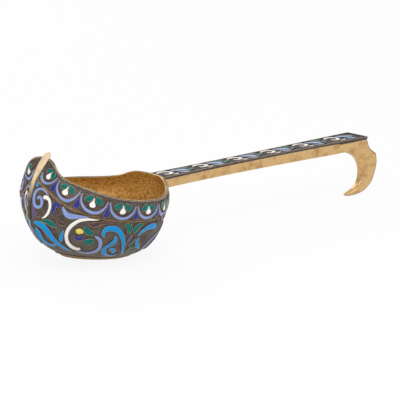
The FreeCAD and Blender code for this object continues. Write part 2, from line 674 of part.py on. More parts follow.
def hook_point(shares):
    """Point of the hook's far edge from its shares of the drop and of the handle's half width."""
    along, down, across = shares
    return Vector(handle_end_x + hook_drop * along, handle_end_half_width * across,
                  handle_end_z + hook_drop * down)


def hook_edges():
    """Far inner edge and far back edge of the hook, from the joint to the tip, at matching steps."""
    neck_x = hook_joint_x + hook_neck_length * hook_neck_share
    tops = [Vector(x, handle_half_width(x), handle_top(x) - plate_thick - seat_gap)
            for x in (hook_joint_x, neck_x, handle_end_x)]
    inner = [Vector(hook_joint_x, handle_half_width(hook_joint_x), handle_bottom(hook_joint_x)),
             Vector(neck_x, handle_half_width(neck_x) * hook_neck_width_share,
                    handle_bottom(neck_x) - hook_neck_rise)]
    inner += [hook_point(shares) for shares in hook_inner_shares]
    cove = tops[-1:] + [hook_point(shares) for shares in hook_cove_shares + hook_back_shares[:1]]
    back = []
    for points in (tops, cove, [hook_point(shares) for shares in hook_back_shares]):
        back = back[:-1] + sampled(points)
    return sampled(inner), back


def sampled(points):
    """Points of a smooth curve through points, the same number in each span."""
    curve = even_curve(points)
    return [curve.value(share) for share in spread(0, 1, hook_span_count * (len(points) - 1) + 1)]


def make_hook():
    """Cast hook with its tenon: wide at its back, narrow inside, tapering from the handle to the tip."""
    sections = [(low, high, flipped(high), flipped(low)) for low, high in zip(*hook_edges())]
    body = ruled_body(sections).common(plan_block(hook_joint_x, handle_end_x + overrun, 0))
    fit = handle_wall + tenon_gap
    first = hook_joint_x - tenon_length
    tenon = plan_block(first, hook_joint_x + tenon_length, fit).common(
        side_slab(first, hook_joint_x + tenon_length, plate_thick + tenon_gap, -fit, handle_top, handle_bottom))
    return body.fuse(tenon).removeSplitter()


def stroke_tile(path, place):
    """Enamel tile along a path of (first, second, width); place gives a point and its directions."""
    points = [place(a, b) for a, b, width in path]
    sections = []
    for index, (point, outward) in enumerate(points):
        before = points[max(index - 1, 0)][0]
        after = points[min(index + 1, len(points) - 1)][0]
        side = outward.cross(after - before)
        side.normalize()
        half = side * (path[index][2] / 2)
        low = point + outward * enamel_gap
        high = point + outward * enamel_thick
        sections.append((low - half, high - half, high + half, low + half))
    return ruled_body(sections)


def on_bowl(station, height):
    """Place on the bowl and the direction out of it."""
    return bowl_skin(station, height), skin_directions(station, height)[2]


def on_plate(x, y):
    """Place on the handle's plate and the direction out of it."""
    slope = (handle_top(x + step_share) - handle_top(x - step_share)) / (2 * step_share)
    outward = Vector(-slope, 0, 1)
    outward.normalize()
    return Vector(x, y, handle_top(x)), outward


def frieze_tiles(rows, indices):
    """One kind of cell of the near side's frieze, at the edges or the scallops with these numbers."""
    tiles = []
    for index in indices:
        after = min(index + 1, len(scallop_edge_shares) - 1)
        path = []
        for across, height, width in rows:
            lifted = height + scallop_lift_shares[index]
            edge, lean = [values[index] + (values[after] - values[index]) * across
                          for values in (scallop_edge_shares, scallop_lean_shares)]
            path.append((edge + lean * (lifted - scallop_lean_height_share), lifted,
                         width * stroke_width * scallop_size_shares[index]))
        tiles.append(stroke_tile(path, on_bowl))
    return tiles


def repeated(strokes):
    """Strokes of the near side with the flower and the acanthus repeated, turned round, towards the stern."""
    result = list(strokes)
    for first, last, mirror in (flower_range_shares + (flower_mirror_station,),
                                leaf_range_shares + (leaf_mirror_station,)):
        for path in strokes:
            if all(first <= station <= last for station, height, width in path):
                result.append(tuple((mirror - station, height, width) for station, height, width in path))
    return result


def make_belly_tiles(strokes):
    """One colour of the belly's scrolls, on both sides."""
    return both_sides([stroke_tile([(station, height, share * stroke_width) for station, height, share in path],
                                   on_bowl) for path in repeated(strokes)])


def make_handle_tiles(strokes):
    """One colour of the handle's enamel, repeated along the plate."""
    tiles = []
    middle = handle_root_x + handle_repeat_margin
    while middle < handle_end_x - handle_repeat_margin:
        for path in strokes:
            placed = []
            for along, across, share in path:
                x = middle + along * handle_repeat_pitch
                placed.append((x, across * handle_half_width(x), share * handle_stroke_width))
            if placed[-1][0] < handle_end_x - 2 * handle_wire_width:
                tiles.append(stroke_tile(placed, on_plate))
        middle += handle_repeat_pitch
    return Part.makeCompound(tiles)


def rest_angle():
    """Angle that brings the back edge of the foot and the lowest part of the hook to one level."""
    heel = Vector(foot_half_length - foot_inset, 0, 0)
    outline = hook_edges()[1]
    angle = 0
    for turn in range(rest_turns):
        lowest = min(outline, key=lambda p: p.z * math.cos(angle) - p.x * math.sin(angle))
        angle = math.atan2(lowest.z - heel.z, lowest.x - heel.x)
    return math.degrees(angle)


def main():
    root_tool = make_root_tool()
    scallops = range(len(scallop_edge_shares) - 1)
    edges = range(1, len(scallop_edge_shares))
    parts = {
        "bowl_shell": make_bowl_shell(),
        "foot_ring": make_foot_ring(),
        "prow_strip": make_prow_strip(),
        "rim_band": make_rim_band(),
        "rim_rope_wire": make_rim_rope(),
        "line_wire": make_line_wire(),
        "base_wire": make_base_wire(),
        "handle_channel": make_handle_channel(root_tool),
        "handle_top_plate": make_top_plate(root_tool),
        "handle_wire_near": make_edge_wire(root_tool, -1),
        "handle_wire_far": make_edge_wire(root_tool, 1),
        "handle_end_wire": make_end_wire(),
        "handle_hook": make_hook(),
        "frieze_scallops": both_sides(frieze_tiles(first_scallop_shares, scallops[:1])
                                      + frieze_tiles(scallop_shares, scallops[1:])),
        "frieze_white_drops": both_sides(frieze_tiles(drop_shares, scallops)),
        "frieze_teal_leaves": both_sides(frieze_tiles(near_leaf_shares, scallops)
                                         + frieze_tiles(far_leaf_shares, scallops)),
        "frieze_cobalt_drops": both_sides(frieze_tiles(cobalt_drop_shares, edges)),
        "belly_white_scrolls": make_belly_tiles(white_stroke_shares),
        "belly_pale_scrolls": make_belly_tiles(pale_stroke_shares),
        "belly_azure_scrolls": make_belly_tiles(azure_stroke_shares),
        "belly_teal_leaves": make_belly_tiles(teal_stroke_shares),
        "belly_cobalt_leaves": make_belly_tiles(cobalt_stroke_shares),
        "belly_lilac_leaves": make_belly_tiles(lilac_stroke_shares),
        "belly_maroon_leaves": make_belly_tiles(maroon_stroke_shares),
        "belly_yellow_buds": make_belly_tiles(yellow_stroke_shares),
        "handle_white_scrolls": make_handle_tiles(handle_white_shares),
        "handle_pale_leaves": make_handle_tiles(handle_pale_shares),
        "handle_teal_leaves": make_handle_tiles(handle_teal_shares),
    }
    angle = rest_angle()
    points = []
    for shape in parts.values():
        shape.rotate(Vector(0, 0, 0), Vector(0, 1, 0), angle)
        points += shape.tessellate(mesh_step)[0]
    middle_x = (min(p.x for p in points) + max(p.x for p in points)) / 2
    floor_z = min(p.z for p in points)
    os.makedirs("parts", exist_ok=True)
    for name, shape in parts.items():
        shape.translate(Vector(-middle_x, 0, -floor_z))
        shape.exportStep("parts/" + name + ".step")
        print(name, len(shape.Solids), "valid" if shape.isValid() else "INVALID", round(shape.Volume, 2))
    print("rest angle", round(angle, 3), "shift", round(-middle_x, 3), round(-floor_z, 3))
    print("size", [round(max(getattr(p, axis) for p in points) - min(getattr(p, axis) for p in points), 2)
                   for axis in "xyz"])


main()
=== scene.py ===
"""Looks of a gilt drinking ladle with cell enamel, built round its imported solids.

Shapes are worked out in millimetres on the bench, where the foot's underside is level, and then turned and
moved to where the ladle rests on its table. Stations run round the bowl from the prow (0) along the near side
to the stern (10). Heights run from the foot (0) over the line between belly and frieze (1) to the rim (2).
"""
import logging
import math
from dataclasses import dataclass
from enum import Enum
from typing import Callable, Sequence

import bmesh
import bpy
import numpy as np
from mathutils import Matrix

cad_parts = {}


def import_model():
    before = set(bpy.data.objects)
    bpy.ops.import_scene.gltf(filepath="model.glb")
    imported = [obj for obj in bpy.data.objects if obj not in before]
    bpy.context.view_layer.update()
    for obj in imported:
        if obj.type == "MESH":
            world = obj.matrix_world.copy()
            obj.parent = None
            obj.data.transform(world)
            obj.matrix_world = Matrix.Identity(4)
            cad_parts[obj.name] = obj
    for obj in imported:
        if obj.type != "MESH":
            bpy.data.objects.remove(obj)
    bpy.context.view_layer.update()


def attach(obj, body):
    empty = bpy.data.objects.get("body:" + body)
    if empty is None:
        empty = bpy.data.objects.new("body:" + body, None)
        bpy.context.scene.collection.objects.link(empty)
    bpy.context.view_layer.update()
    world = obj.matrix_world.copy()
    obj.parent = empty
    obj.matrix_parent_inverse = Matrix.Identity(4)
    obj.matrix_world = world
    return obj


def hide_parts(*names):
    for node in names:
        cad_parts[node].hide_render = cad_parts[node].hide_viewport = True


Array = np.ndarray
Pair = tuple[float, float]
Triple = tuple[float, float, float]
Values = tuple[float, ...]
Path = Sequence[Triple]
Socket = bpy.types.NodeSocket
Lay = Callable[[Array, Array], tuple[Array, Array]]

LOG = logging.getLogger("ladle")
MM = 0.001
REST_ANGLE = math.radians(7.387)
REST_SHIFT = (-59.528, 0.0, 1.826)
LAST_STATION = 10.0
AT_LINE = 1.0
AT_RIM = 2.0
STEP = 0.002
PAST_LINE = 1e-9
LEAST_LENGTH = 1e-12
CELL_SHARP_ANGLE = 70.0
MERGE = 0.0000015


def unit(vectors: Array) -> Array:
    """Vectors divided by their lengths."""
    return vectors / np.maximum(np.linalg.norm(vectors, axis=-1, keepdims=True), LEAST_LENGTH)


def flipped(points: Array) -> Array:
    """Points mirrored to the far side, y turned to minus y."""
    return points * np.array((1.0, -1.0, 1.0))


def at_rest(points: Array) -> Array:
    """Bench millimetres to the resting place in metres: a turn about Y by the rest angle, then the shift.

    Args:
        points: bench points, the last axis holding x, y and z.

    Returns:
        The same points in the row frame.
    """
    cosine, sine = math.cos(REST_ANGLE), math.sin(REST_ANGLE)
    x = points[..., 0] * cosine + points[..., 2] * sine
    z = points[..., 2] * cosine - points[..., 0] * sine
    return (np.stack((x, points[..., 1], z), axis=-1) + np.array(REST_SHIFT)) * MM


def smooth_path(path: Path, steps: int) -> Array:
    """Catmull-Rom curve through a path's rows, each span cut into the same number of steps.

    Args:
        path: rows of numbers, such as place, place and width.
        steps: cuts in each span.

    Returns:
        Rows of the smooth curve, the given rows among them.
    """
    rows = np.array(path, float)
    padded = np.vstack((2 * rows[0] - rows[1], rows, 2 * rows[-1] - rows[-2]))
    share = np.arange(steps)[None, :, None] / steps
    a, b, c, d = (padded[k:len(padded) - 3 + k, None, :] for k in range(4))
    curve = 0.5 * (2 * b + (c - a) * share + (2 * a - 5 * b + 4 * c - d) * share ** 2
                   + (3 * b - a - 3 * c + d) * share ** 3)
    return np.vstack((curve.reshape(-1, rows.shape[1]), rows[-1]))


def circle(sides: int) -> Array:
    """Angles of a ring's points."""
    return np.arange(sides) * 2 * math.pi / sides


def carried(centres: Array, forward: Array, outward: Array, radius: Array | float, angle: Array,
            lift: float) -> Array:
    """Round section carried along a path: centre + side * r cos(a) + outward * (r sin(a) + lift).

    Args:
        centres: points of the path.
        forward: vectors along the path, of any length. The side is square to them and to outward.
        outward: unit vectors out of the metal that carries the section.
        radius: the section's radius, or one for each point of each ring.
        angle: angles of a ring's points.
        lift: height of the section's middle over the path.

    Returns:
        Grid of points, a ring for each point of the path.
    """
    side = unit(np.cross(outward, unit(forward)))
    return (centres[:, None] + side[:, None] * (radius * np.cos(angle))[..., None]
            + outward[:, None] * (radius * np.sin(angle) + lift)[..., None])


def capped(points: Array) -> Array:
    """Rows with both ends closed to their middles."""
    ends = [np.repeat(points[k].mean(axis=0)[None], points.shape[1], axis=0)[None] for k in (0, -1)]
    return np.concatenate((ends[0], points, ends[1]))


def stood(axes: Sequence[Array], place: Sequence[float]) -> Matrix:
    """Matrix that turns an object's own axes to the given ones and moves it to a place."""
    return Matrix([[*(axis[k] for axis in axes), place[k]] for k in range(3)] + [[0, 0, 0, 1]])


class Mesh:
    """Gathers grids of points and makes one object of them."""

    def __init__(self) -> None:
        """Starts with nothing."""
        self.points: list[Array] = []
        self.faces: list[Array] = []
        self.finishes: list[Array] = []
        self.count = 0

    def grid(self, points: Array, loop_rows: bool = False, loop_columns: bool = False,
             finish: int = 0) -> None:
        """Adds a grid of four-sided faces.

        Args:
            points: rows by columns by three, in bench millimetres.
            loop_rows: the last row joins the first.
            loop_columns: the last column joins the first.
            finish: number of the material slot.
        """
        rows, columns = points.shape[:2]
        numbers = np.arange(rows * columns).reshape(rows, columns) + self.count
        down = np.arange(rows if loop_rows else rows - 1)
        across = np.arange(columns if loop_columns else columns - 1)
        below, right = (down + 1) % rows, (across + 1) % columns
        corners = (numbers[np.ix_(down, across)], numbers[np.ix_(down, right)],
                   numbers[np.ix_(below, right)], numbers[np.ix_(below, across)])
        faces = np.stack(corners, axis=-1).reshape(-1, 4)
        self.points.append(points.reshape(-1, 3))
        self.faces.append(faces)
        self.finishes.append(np.full(len(faces), finish))
        self.count += rows * columns

    def both(self, points: Array, **how: int) -> None:
        """Adds a grid of the near side and its mirror image."""
        self.grid(points, **how)
        self.grid(flipped(points), **how)

    def build(self, name: str, materials: Sequence[bpy.types.Material],
              sharp_angle: float) -> bpy.types.Object:
        """Makes the object, with equal points merged and its faces turned outwards.

        Args:
            name: the object's name.
            materials: one material per slot.
            sharp_angle: edges sharper than this, in degrees, stay sharp.

        Returns:
            The linked object, at the origin.
        """
        mesh = bpy.data.meshes.new(name)
        mesh.from_pydata(at_rest(np.vstack(self.points)).tolist(), [], np.vstack(self.faces).tolist())
        for material in materials:
            mesh.materials.append(material)
        mesh.polygons.foreach_set("material_index", np.concatenate(self.finishes).astype(np.int32))
        work = bmesh.new()
        work.from_mesh(mesh)
        bmesh.ops.remove_doubles(work, verts=work.verts, dist=MERGE)
        bmesh.ops.dissolve_degenerate(work, edges=work.edges, dist=MERGE / 10)
        bmesh.ops.recalc_face_normals(work, faces=work.faces)
        work.to_mesh(mesh)
        work.free()
        mesh.polygons.foreach_set("use_smooth", np.ones(len(mesh.polygons), bool))
        mesh.set_sharp_from_angle(angle=math.radians(sharp_angle))
        piece = bpy.data.objects.new(name, mesh)
        bpy.context.scene.collection.objects.link(piece)
        return piece


@dataclass(frozen=True)
class Level:
    """One level curve of the bowl."""

    prow_x: float
    stern_x: float
    half_width: float
    height: float
    prow_rise: float
    stern_rise: float
    along: Values
    width: Values
    rise: Values

    def stations(self) -> Array:
        """Points at whole stations from the prow round the near side and back along the far side."""
        along, width, rise = np.array(self.along), np.array(self.width), np.array(self.rise)
        lift = np.where(np.arange(len(rise)) < len(rise) // 2, self.prow_rise, self.stern_rise) * rise
        x = self.prow_x + (self.stern_x - self.prow_x) * along
        near = np.stack((x, -self.half_width * width, self.height + lift), axis=-1)
        return np.vstack((near, flipped(near[-2::-1])))

    def slopes(self) -> Array:
        """Slopes of the natural cubic spline through the stations."""
        points = self.stations()
        count = len(points)
        after, before = np.vstack((points[1:], points[-1:])), np.vstack((points[:1], points[:-1]))
        beside = np.ones(count - 1)
        system = np.diag(np.full(count, 4.0)) + np.diag(beside, 1) + np.diag(beside, -1)
        system[0, 0] = system[-1, -1] = 2.0
        return np.linalg.solve(system, 3 * (after - before))

    def point(self, station: Array) -> Array:
        """Cubic Hermite point between stations."""
        points, slopes = self.stations(), self.slopes()
        index = np.clip(station.astype(int), 0, len(points) - 2)
        f = (station - index)[..., None]
        start = points[index] * (2 * f ** 3 - 3 * f ** 2 + 1) + slopes[index] * (f ** 3 - 2 * f ** 2 + f)
        return start + points[index + 1] * (3 * f ** 2 - 2 * f ** 3) + slopes[index + 1] * (f ** 3 - f ** 2)


LOW = Level(-38.0, 25.0, 20.3, 3.2, 5.0, 2.0,
            (0, 0.077, 0.153, 0.258, 0.389, 0.548, 0.698, 0.829, 0.924, 0.979, 1),
            (0, 0.128, 0.32, 0.571, 0.847, 0.985, 1, 0.833, 0.576, 0.305, 0),
            (1, 0.6, 0.36, 0.17, 0.06, 0, 0, 0.2, 0.6, 0.9, 1))
LINE = Level(-31.8, 26.2, 22.4, 16.5, 12.9, 2.9,
             (0, 0.028, 0.072, 0.146, 0.31, 0.488, 0.66, 0.807, 0.915, 0.978, 1),
             (0, 0.205, 0.448, 0.7, 0.888, 1, 1, 0.83, 0.571, 0.304, 0),
             (1, 0.722, 0.43, 0.226, 0.039, 0, 0.14, 0.38, 0.69, 0.93, 1))
RIM = Level(-26.7, 27.0, 23.1, 24.1, 12.2, 4.3,
            (0, -0.031, -0.013, 0.087, 0.231, 0.423, 0.616, 0.769, 0.892, 0.943, 1),
            (0, 0.224, 0.395, 0.608, 0.892, 1, 0.996, 0.81, 0.55, 0.329, 0),
            (1, 0.908, 0.575, 0.323, 0.123, 0, 0.02, 0.16, 0.49, 1, 1))


@dataclass(frozen=True)
class BowlForm:
    """Outer skin of the bowl, the surface that everything on it follows."""

    foot_half_length: float = 14.6
    foot_half_width: float = 9.6
    foot_height: float = 0.7
    bulge: float = 1.5
    bulge_prow: float = 1.0
    bulge_growth: float = 4.0
    ridge_reach: float = 2.0
    halvings: int = 40

    def point(self, station: Array, height: Array) -> Array:
        """Point of the skin: a quadratic curve foot, low, line below the line and line, neck, rim above it.

        Args:
            station: stations round the bowl.
            height: heights of the same shape.

        Returns:
            Bench points.
        """
        angle = math.pi * station / LAST_STATION
        foot = np.stack((-self.foot_half_length * np.cos(angle), -self.foot_half_width * np.sin(angle),
                         np.full_like(angle, self.foot_height)), axis=-1)
        line, rim = LINE.point(station), RIM.point(station)
        middle = (line + rim) / 2
        outward = unit(middle * np.array((1.0, 1.0, 0.0)))
        away = np.minimum(station, 2 * LAST_STATION - station)
        full = np.minimum(1, away / LAST_STATION * self.bulge_growth)
        neck = middle + outward * (self.bulge_prow + (self.bulge - self.bulge_prow) * full)[..., None]
        upper = (height > 1)[..., None]
        share = np.where(upper, height[..., None] - 1, height[..., None])
        first, pull = np.where(upper, line, foot), np.where(upper, neck, LOW.point(station))
        last = np.where(upper, rim, line)
        return first * (1 - share) ** 2 + pull * (2 * share * (1 - share)) + last * share ** 2

    def directions(self, station: Array, height: Array) -> tuple[Array, Array, Array]:
        """Unit vectors along the stations, upward and outward, from differences over small steps."""
        before, after = np.maximum(station - STEP, 0), np.minimum(station + STEP, LAST_STATION)
        lower = height <= AT_LINE
        above = np.where(lower, np.minimum(height + STEP, AT_LINE), height + STEP)
        below = np.maximum(height - STEP, np.where(lower, 0.0, AT_LINE + PAST_LINE))
        along = unit(self.point(after, height) - self.point(before, height))
        upward = unit(self.point(station, above) - self.point(station, below))
        outward = np.cross(along, upward)
        middle = (station <= 0) | (station >= LAST_STATION)
        outward[..., 1] = np.where(middle, 0.0, outward[..., 1])
        return along, upward, unit(outward)

    def lay(self, station: Array, height: Array) -> tuple[Array, Array]:
        """Points of the skin and the unit vectors out of it."""
        return self.point(station, height), self.directions(station, height)[2]

    def raised(self, station: Array, height: Array, lift: Array | float) -> Array:
        """Points at a distance over the skin."""
        point, outward = self.lay(station, height)
        return point + outward * np.asarray(lift)[..., None]

    def ridge_start(self, height: Array, lift: float) -> Array:
        """Stations where a sunken skin meets the middle plane at the prow, found by halving."""
        low, high = np.full_like(height, STEP), np.full_like(height, self.ridge_reach)
        none = self.raised(low, height, lift)[..., 1] <= 0
        for _ in range(self.halvings):
            middle = (low + high) / 2
            past = self.raised(middle, height, lift)[..., 1] > 0
            low, high = np.where(past, middle, low), np.where(past, high, middle)
        return np.where(none, 0.0, high)

    def ring(self, start: float, height: float, drop: float, count: int) -> tuple[Array, Array]:
        """Path round the near side at a height less a drop, from a station to the stern.

        Args:
            start: first station.
            height: height on the skin.
            drop: distance below it, along the skin.
            count: points of the path.

        Returns:
            Points and outward vectors.
        """
        stations = np.linspace(start, LAST_STATION, count)
        heights = np.full_like(stations, height)
        upward, outward = self.directions(stations, heights)[1:]
        return self.point(stations, heights) - upward * drop, outward


@dataclass(frozen=True)
class HandleForm:
    """Upper face of the handle."""

    root_x: float = 29.5
    root_z: float = 27.75
    end_x: float = 138.4
    end_z: float = 40.2
    crown: float = 0.15
    plan_x: Values = (29.5, 62.17, 100.285, 138.4)
    plan_half: Values = (4.45, 3.7, 4.2, 5.35)

    def top(self, x: Array) -> Array:
        """Height: a straight line with a slight crown, 4 c s (1 - s)."""
        share = (x - self.root_x) / (self.end_x - self.root_x)
        return self.root_z + (self.end_z - self.root_z) * share + self.crown * 4 * share * (1 - share)

    def half_width(self, x: Array) -> Array:
        """Half width, straight between its given places."""
        return np.interp(x, self.plan_x, self.plan_half)

    def lay(self, x: Array, y: Array) -> tuple[Array, Array]:
        """Points of the upper face and the unit vectors out of it."""
        slope = (self.top(x + STEP) - self.top(x - STEP)) / (2 * STEP)
        outward = unit(np.stack((-slope, np.zeros_like(x), np.ones_like(x)), axis=-1))
        return np.stack((x, y, self.top(x)), axis=-1), outward


class Graph:
    """A material and the nodes that make its finish."""

    def __init__(self, name: str) -> None:
        """Makes the material with its shader and Object coordinates."""
        self.material = bpy.data.materials.new(name)
        self.material.use_nodes = True
        self.tree = self.material.node_tree
        self.shader = self.tree.nodes["Principled BSDF"]
        self.place = self.node("ShaderNodeTexCoord").outputs["Object"]

    def node(self, kind: str, **inputs: float) -> bpy.types.Node:
        """Adds a node and sets its named inputs."""
        made = self.tree.nodes.new(kind)
        for name, value in inputs.items():
            made.inputs[name].default_value = value
        return made

    def join(self, source: Socket, target: Socket) -> None:
        """Links two sockets."""
        self.tree.links.new(source, target)

    def noise(self, size: float, detail: float = 4.0, rough: float = 0.6) -> Socket:
        """Cloudy pattern with blots of about a size in millimetres."""
        made = self.node("ShaderNodeTexNoise", Scale=1 / (size * MM), Detail=detail, Roughness=rough)
        self.join(self.place, made.inputs["Vector"])
        return made.outputs["Fac"]

    def cells(self, size: float) -> Socket:
        """Distance to the nearest of scattered points a size apart in millimetres."""
        made = self.node("ShaderNodeTexVoronoi", Scale=1 / (size * MM))
        self.join(self.place, made.inputs["Vector"])
        return made.outputs["Distance"]

    def spread(self, source: Socket, low: float, high: float, to_low: float = 0.0,
               to_high: float = 1.0) -> Socket:
        """Stretches a range of values to another and cuts off what lies outside."""
        made = self.node("ShaderNodeMapRange")
        for name, value in (("From Min", low), ("From Max", high), ("To Min", to_low), ("To Max", to_high)):
            made.inputs[name].default_value = value
        self.join(source, made.inputs["Value"])
        return made.outputs["Result"]

    def blend(self, share: Socket, first: object, second: object) -> Socket:
        """Mixes two colours, each a tuple or a socket."""
        made = self.tree.nodes.new("ShaderNodeMix")
        made.data_type = "RGBA"
        self.join(share, made.inputs[0])
        for socket, colour in ((made.inputs[6], first), (made.inputs[7], second)):
            if isinstance(colour, tuple):
                socket.default_value = (*colour, 1.0)
            else:
                self.join(colour, socket)
        return made.outputs[2]

    def rise(self, low: float, high: float) -> Socket:
        """Share that grows from 0 to 1 between two heights in millimetres."""
        made = self.node("ShaderNodeSeparateXYZ")
        self.join(self.place, made.inputs[0])
        return self.spread(made.outputs["Z"], low * MM, high * MM)

    def relief(self, height: Socket, depth: float, strength: float) -> None:
        """Bump of a depth in millimetres, on top of any bump before it."""
        made = self.node("ShaderNodeBump", Strength=strength, Distance=depth * MM)
        self.join(height, made.inputs["Height"])
        before = self.shader.inputs["Normal"].links
        if before:
            self.join(before[0].from_socket, made.inputs["Normal"])
        self.join(made.outputs["Normal"], self.shader.inputs["Normal"])


@dataclass(frozen=True)
class Metal:
    """Gilt or oxidised metal: a main colour with cloudy stains and fine specks."""

    name: str
    colour: Triple
    stain: Triple
    bright: Triple
    blot_size: float = 3.0
    stain_from: float = 0.45
    stain_to: float = 0.75
    roughness: Pair = (0.3, 0.5)
    metallic: float = 1.0
    grain_size: float = 0.25
    grain_depth: float = 0.02
    blot_noise: Pair = (6.0, 0.65)
    grain_noise: Pair = (3.0, 0.6)
    speck_range: Pair = (0.58, 0.72)
    tone_range: Pair = (0.3, 0.7)
    bump: float = 0.5
    dots: float = 0.0
    dot_range: Pair = (0.1, 0.5)
    dot_depth: float = 0.08
    dot_bump: float = 0.9
    below: Triple | None = None
    fade: Pair = (0.0, 1.0)

    def build(self) -> bpy.types.Material:
        """Makes the material."""
        graph = Graph(self.name)
        blots = graph.noise(self.blot_size, *self.blot_noise)
        grain = graph.noise(self.grain_size, *self.grain_noise)
        stained = graph.blend(graph.spread(blots, self.stain_from, self.stain_to), self.colour, self.stain)
        specks = graph.blend(graph.spread(grain, *self.speck_range), stained, self.bright)
        if self.below:
            specks = graph.blend(graph.rise(*self.fade), self.below, specks)
        graph.join(specks, graph.shader.inputs["Base Color"])
        graph.shader.inputs["Metallic"].default_value = self.metallic
        graph.join(graph.spread(blots, *self.tone_range, *self.roughness), graph.shader.inputs["Roughness"])
        graph.relief(grain, self.grain_depth, self.bump)
        if self.dots:
            graph.relief(graph.spread(graph.cells(self.dots), *self.dot_range), self.dot_depth, self.dot_bump)
        return graph.material


@dataclass(frozen=True)
class Enamel:
    """Fired glass in a cell: an opaque colour with slight clouds, pits and a polished top."""

    name: str
    colour: Triple
    cloud: Triple
    cloud_size: float = 1.6
    cloud_noise: Pair = (4.0, 0.6)
    cloud_range: Pair = (0.42, 0.75)
    tone_range: Pair = (0.3, 0.7)
    roughness: Pair = (0.22, 0.37)
    specular: float = 0.16
    pit_size: float = 0.35
    pit_noise: Pair = (2.0, 0.5)
    pit_depth: float = 0.015
    bump: float = 0.5

    def build(self) -> bpy.types.Material:
        """Makes the material."""
        graph = Graph(self.name)
        clouds = graph.noise(self.cloud_size, *self.cloud_noise)
        graph.join(graph.blend(graph.spread(clouds, *self.cloud_range), self.colour, self.cloud),
                   graph.shader.inputs["Base Color"])
        graph.shader.inputs["Specular IOR Level"].default_value = self.specular
        graph.join(graph.spread(clouds, *self.tone_range, *self.roughness), graph.shader.inputs["Roughness"])
        graph.relief(graph.noise(self.pit_size, *self.pit_noise), self.pit_depth, self.bump)
        return graph.material


class Colour(Enum):
    """Finishes of the ladle."""

    BODY = Metal("satin_gilding", (0.68, 0.45, 0.20), (0.46, 0.24, 0.10), (0.86, 0.66, 0.38), blot_size=4.0,
                 stain_from=0.48, stain_to=0.72, roughness=(0.34, 0.5))
    # Painted shade: dark gilding for the hook's two back corners, standing in for the dark outline that shade
    # draws along its back edges.
    SHADE = Metal("painted_shade_gilding", (0.17, 0.12, 0.075), (0.09, 0.06, 0.04), (0.36, 0.27, 0.17),
                  blot_size=1.5, roughness=(0.42, 0.56))
    PLATE = Metal("plate_ground", (0.075, 0.078, 0.095), (0.035, 0.036, 0.045), (0.24, 0.22, 0.21),
                  blot_size=2.5, roughness=(0.5, 0.68), metallic=0.7, grain_size=0.35, grain_depth=0.05,
                  dots=0.55)
    LINING = Metal("bowl_gilding", (0.60, 0.31, 0.06), (0.14, 0.055, 0.01), (0.80, 0.50, 0.16),
                   blot_size=0.7, stain_from=0.46, stain_to=0.66, roughness=(0.46, 0.62), metallic=0.35,
                   grain_size=0.5, grain_depth=0.06)
    FOOT = Metal("foot_gilding", (0.30, 0.19, 0.10), (0.16, 0.095, 0.05), (0.52, 0.37, 0.20), blot_size=2.0,
                 roughness=(0.4, 0.55))
    LIP = Metal("lip_gilding", (0.42, 0.29, 0.15), (0.22, 0.15, 0.09), (0.70, 0.55, 0.34), blot_size=1.5,
                roughness=(0.35, 0.5))
    GROUND = Metal("stippled_ground", (0.135, 0.106, 0.088), (0.058, 0.046, 0.040), (0.36, 0.29, 0.23),
                   blot_size=3.5, roughness=(0.5, 0.68), metallic=0.7, grain_size=0.35, grain_depth=0.05,
                   dots=0.55)
    STRIP = Metal("strip_gilding", (0.80, 0.62, 0.40), (0.62, 0.44, 0.25), (0.88, 0.74, 0.52),
                  blot_size=3.0, stain_from=0.5, stain_to=0.9, roughness=(0.55, 0.66), metallic=0.3,
                  below=(0.09, 0.062, 0.042), fade=(27.0, 34.5))
    ROPE = Metal("rope_gilding", (0.44, 0.37, 0.29), (0.20, 0.165, 0.13), (0.78, 0.68, 0.53), blot_size=1.2,
                 roughness=(0.35, 0.5))
    BORDER = Metal("border_gilding", (0.34, 0.23, 0.14), (0.17, 0.11, 0.07), (0.56, 0.42, 0.27),
                   blot_size=1.6, roughness=(0.38, 0.52))
    CELL = Metal("cell_wire_gilding", (0.32, 0.25, 0.18), (0.16, 0.12, 0.085), (0.58, 0.46, 0.32),
                 blot_size=1.6, roughness=(0.35, 0.5))
    WHITE = Enamel("white_enamel", (0.95, 0.93, 0.90), (0.86, 0.84, 0.80))
    PALE = Enamel("pale_blue_enamel", (0.22, 0.32, 0.68), (0.30, 0.40, 0.74))
    AZURE = Enamel("azure_enamel", (0.003, 0.26, 0.66), (0.01, 0.34, 0.64))
    SKY = Enamel("sky_enamel", (0.30, 0.46, 0.76), (0.50, 0.62, 0.82))
    TEAL = Enamel("teal_enamel", (0.0, 0.14, 0.12), (0.002, 0.19, 0.16))
    COBALT = Enamel("cobalt_enamel", (0.030, 0.032, 0.22), (0.05, 0.06, 0.30))
    LILAC = Enamel("lilac_enamel", (0.095, 0.075, 0.24), (0.14, 0.11, 0.30))
    MAROON = Enamel("maroon_enamel", (0.095, 0.045, 0.045), (0.13, 0.065, 0.06))
    YELLOW = Enamel("yellow_enamel", (0.82, 0.72, 0.14), (0.70, 0.58, 0.09))

    def material(self) -> bpy.types.Material:
        """The material, made at its first use."""
        found = bpy.data.materials.get(self.value.name)
        return found or self.value.build()


Group = tuple[Colour, str, str, Sequence[Path]]


def finished(mesh: Mesh, name: str, colours: Sequence[Colour], sharp_angle: float, slot: str,
             *nodes: str) -> None:
    """Builds a piece, binds it to the body and hides the nodes that it stands for.

    Args:
        mesh: the piece's grids.
        name: the piece's name.
        colours: one finish for each material slot.
        sharp_angle: edges sharper than this, in degrees, stay sharp.
        slot: the record's material slot; not used.
        nodes: the solids that it stands for.
    """
    piece = mesh.build(name, [colour.material() for colour in colours], sharp_angle)
    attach(piece, "root")
    if nodes:
        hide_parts(*nodes)
    LOG.info("%s: %d faces", piece.name, len(piece.data.polygons))


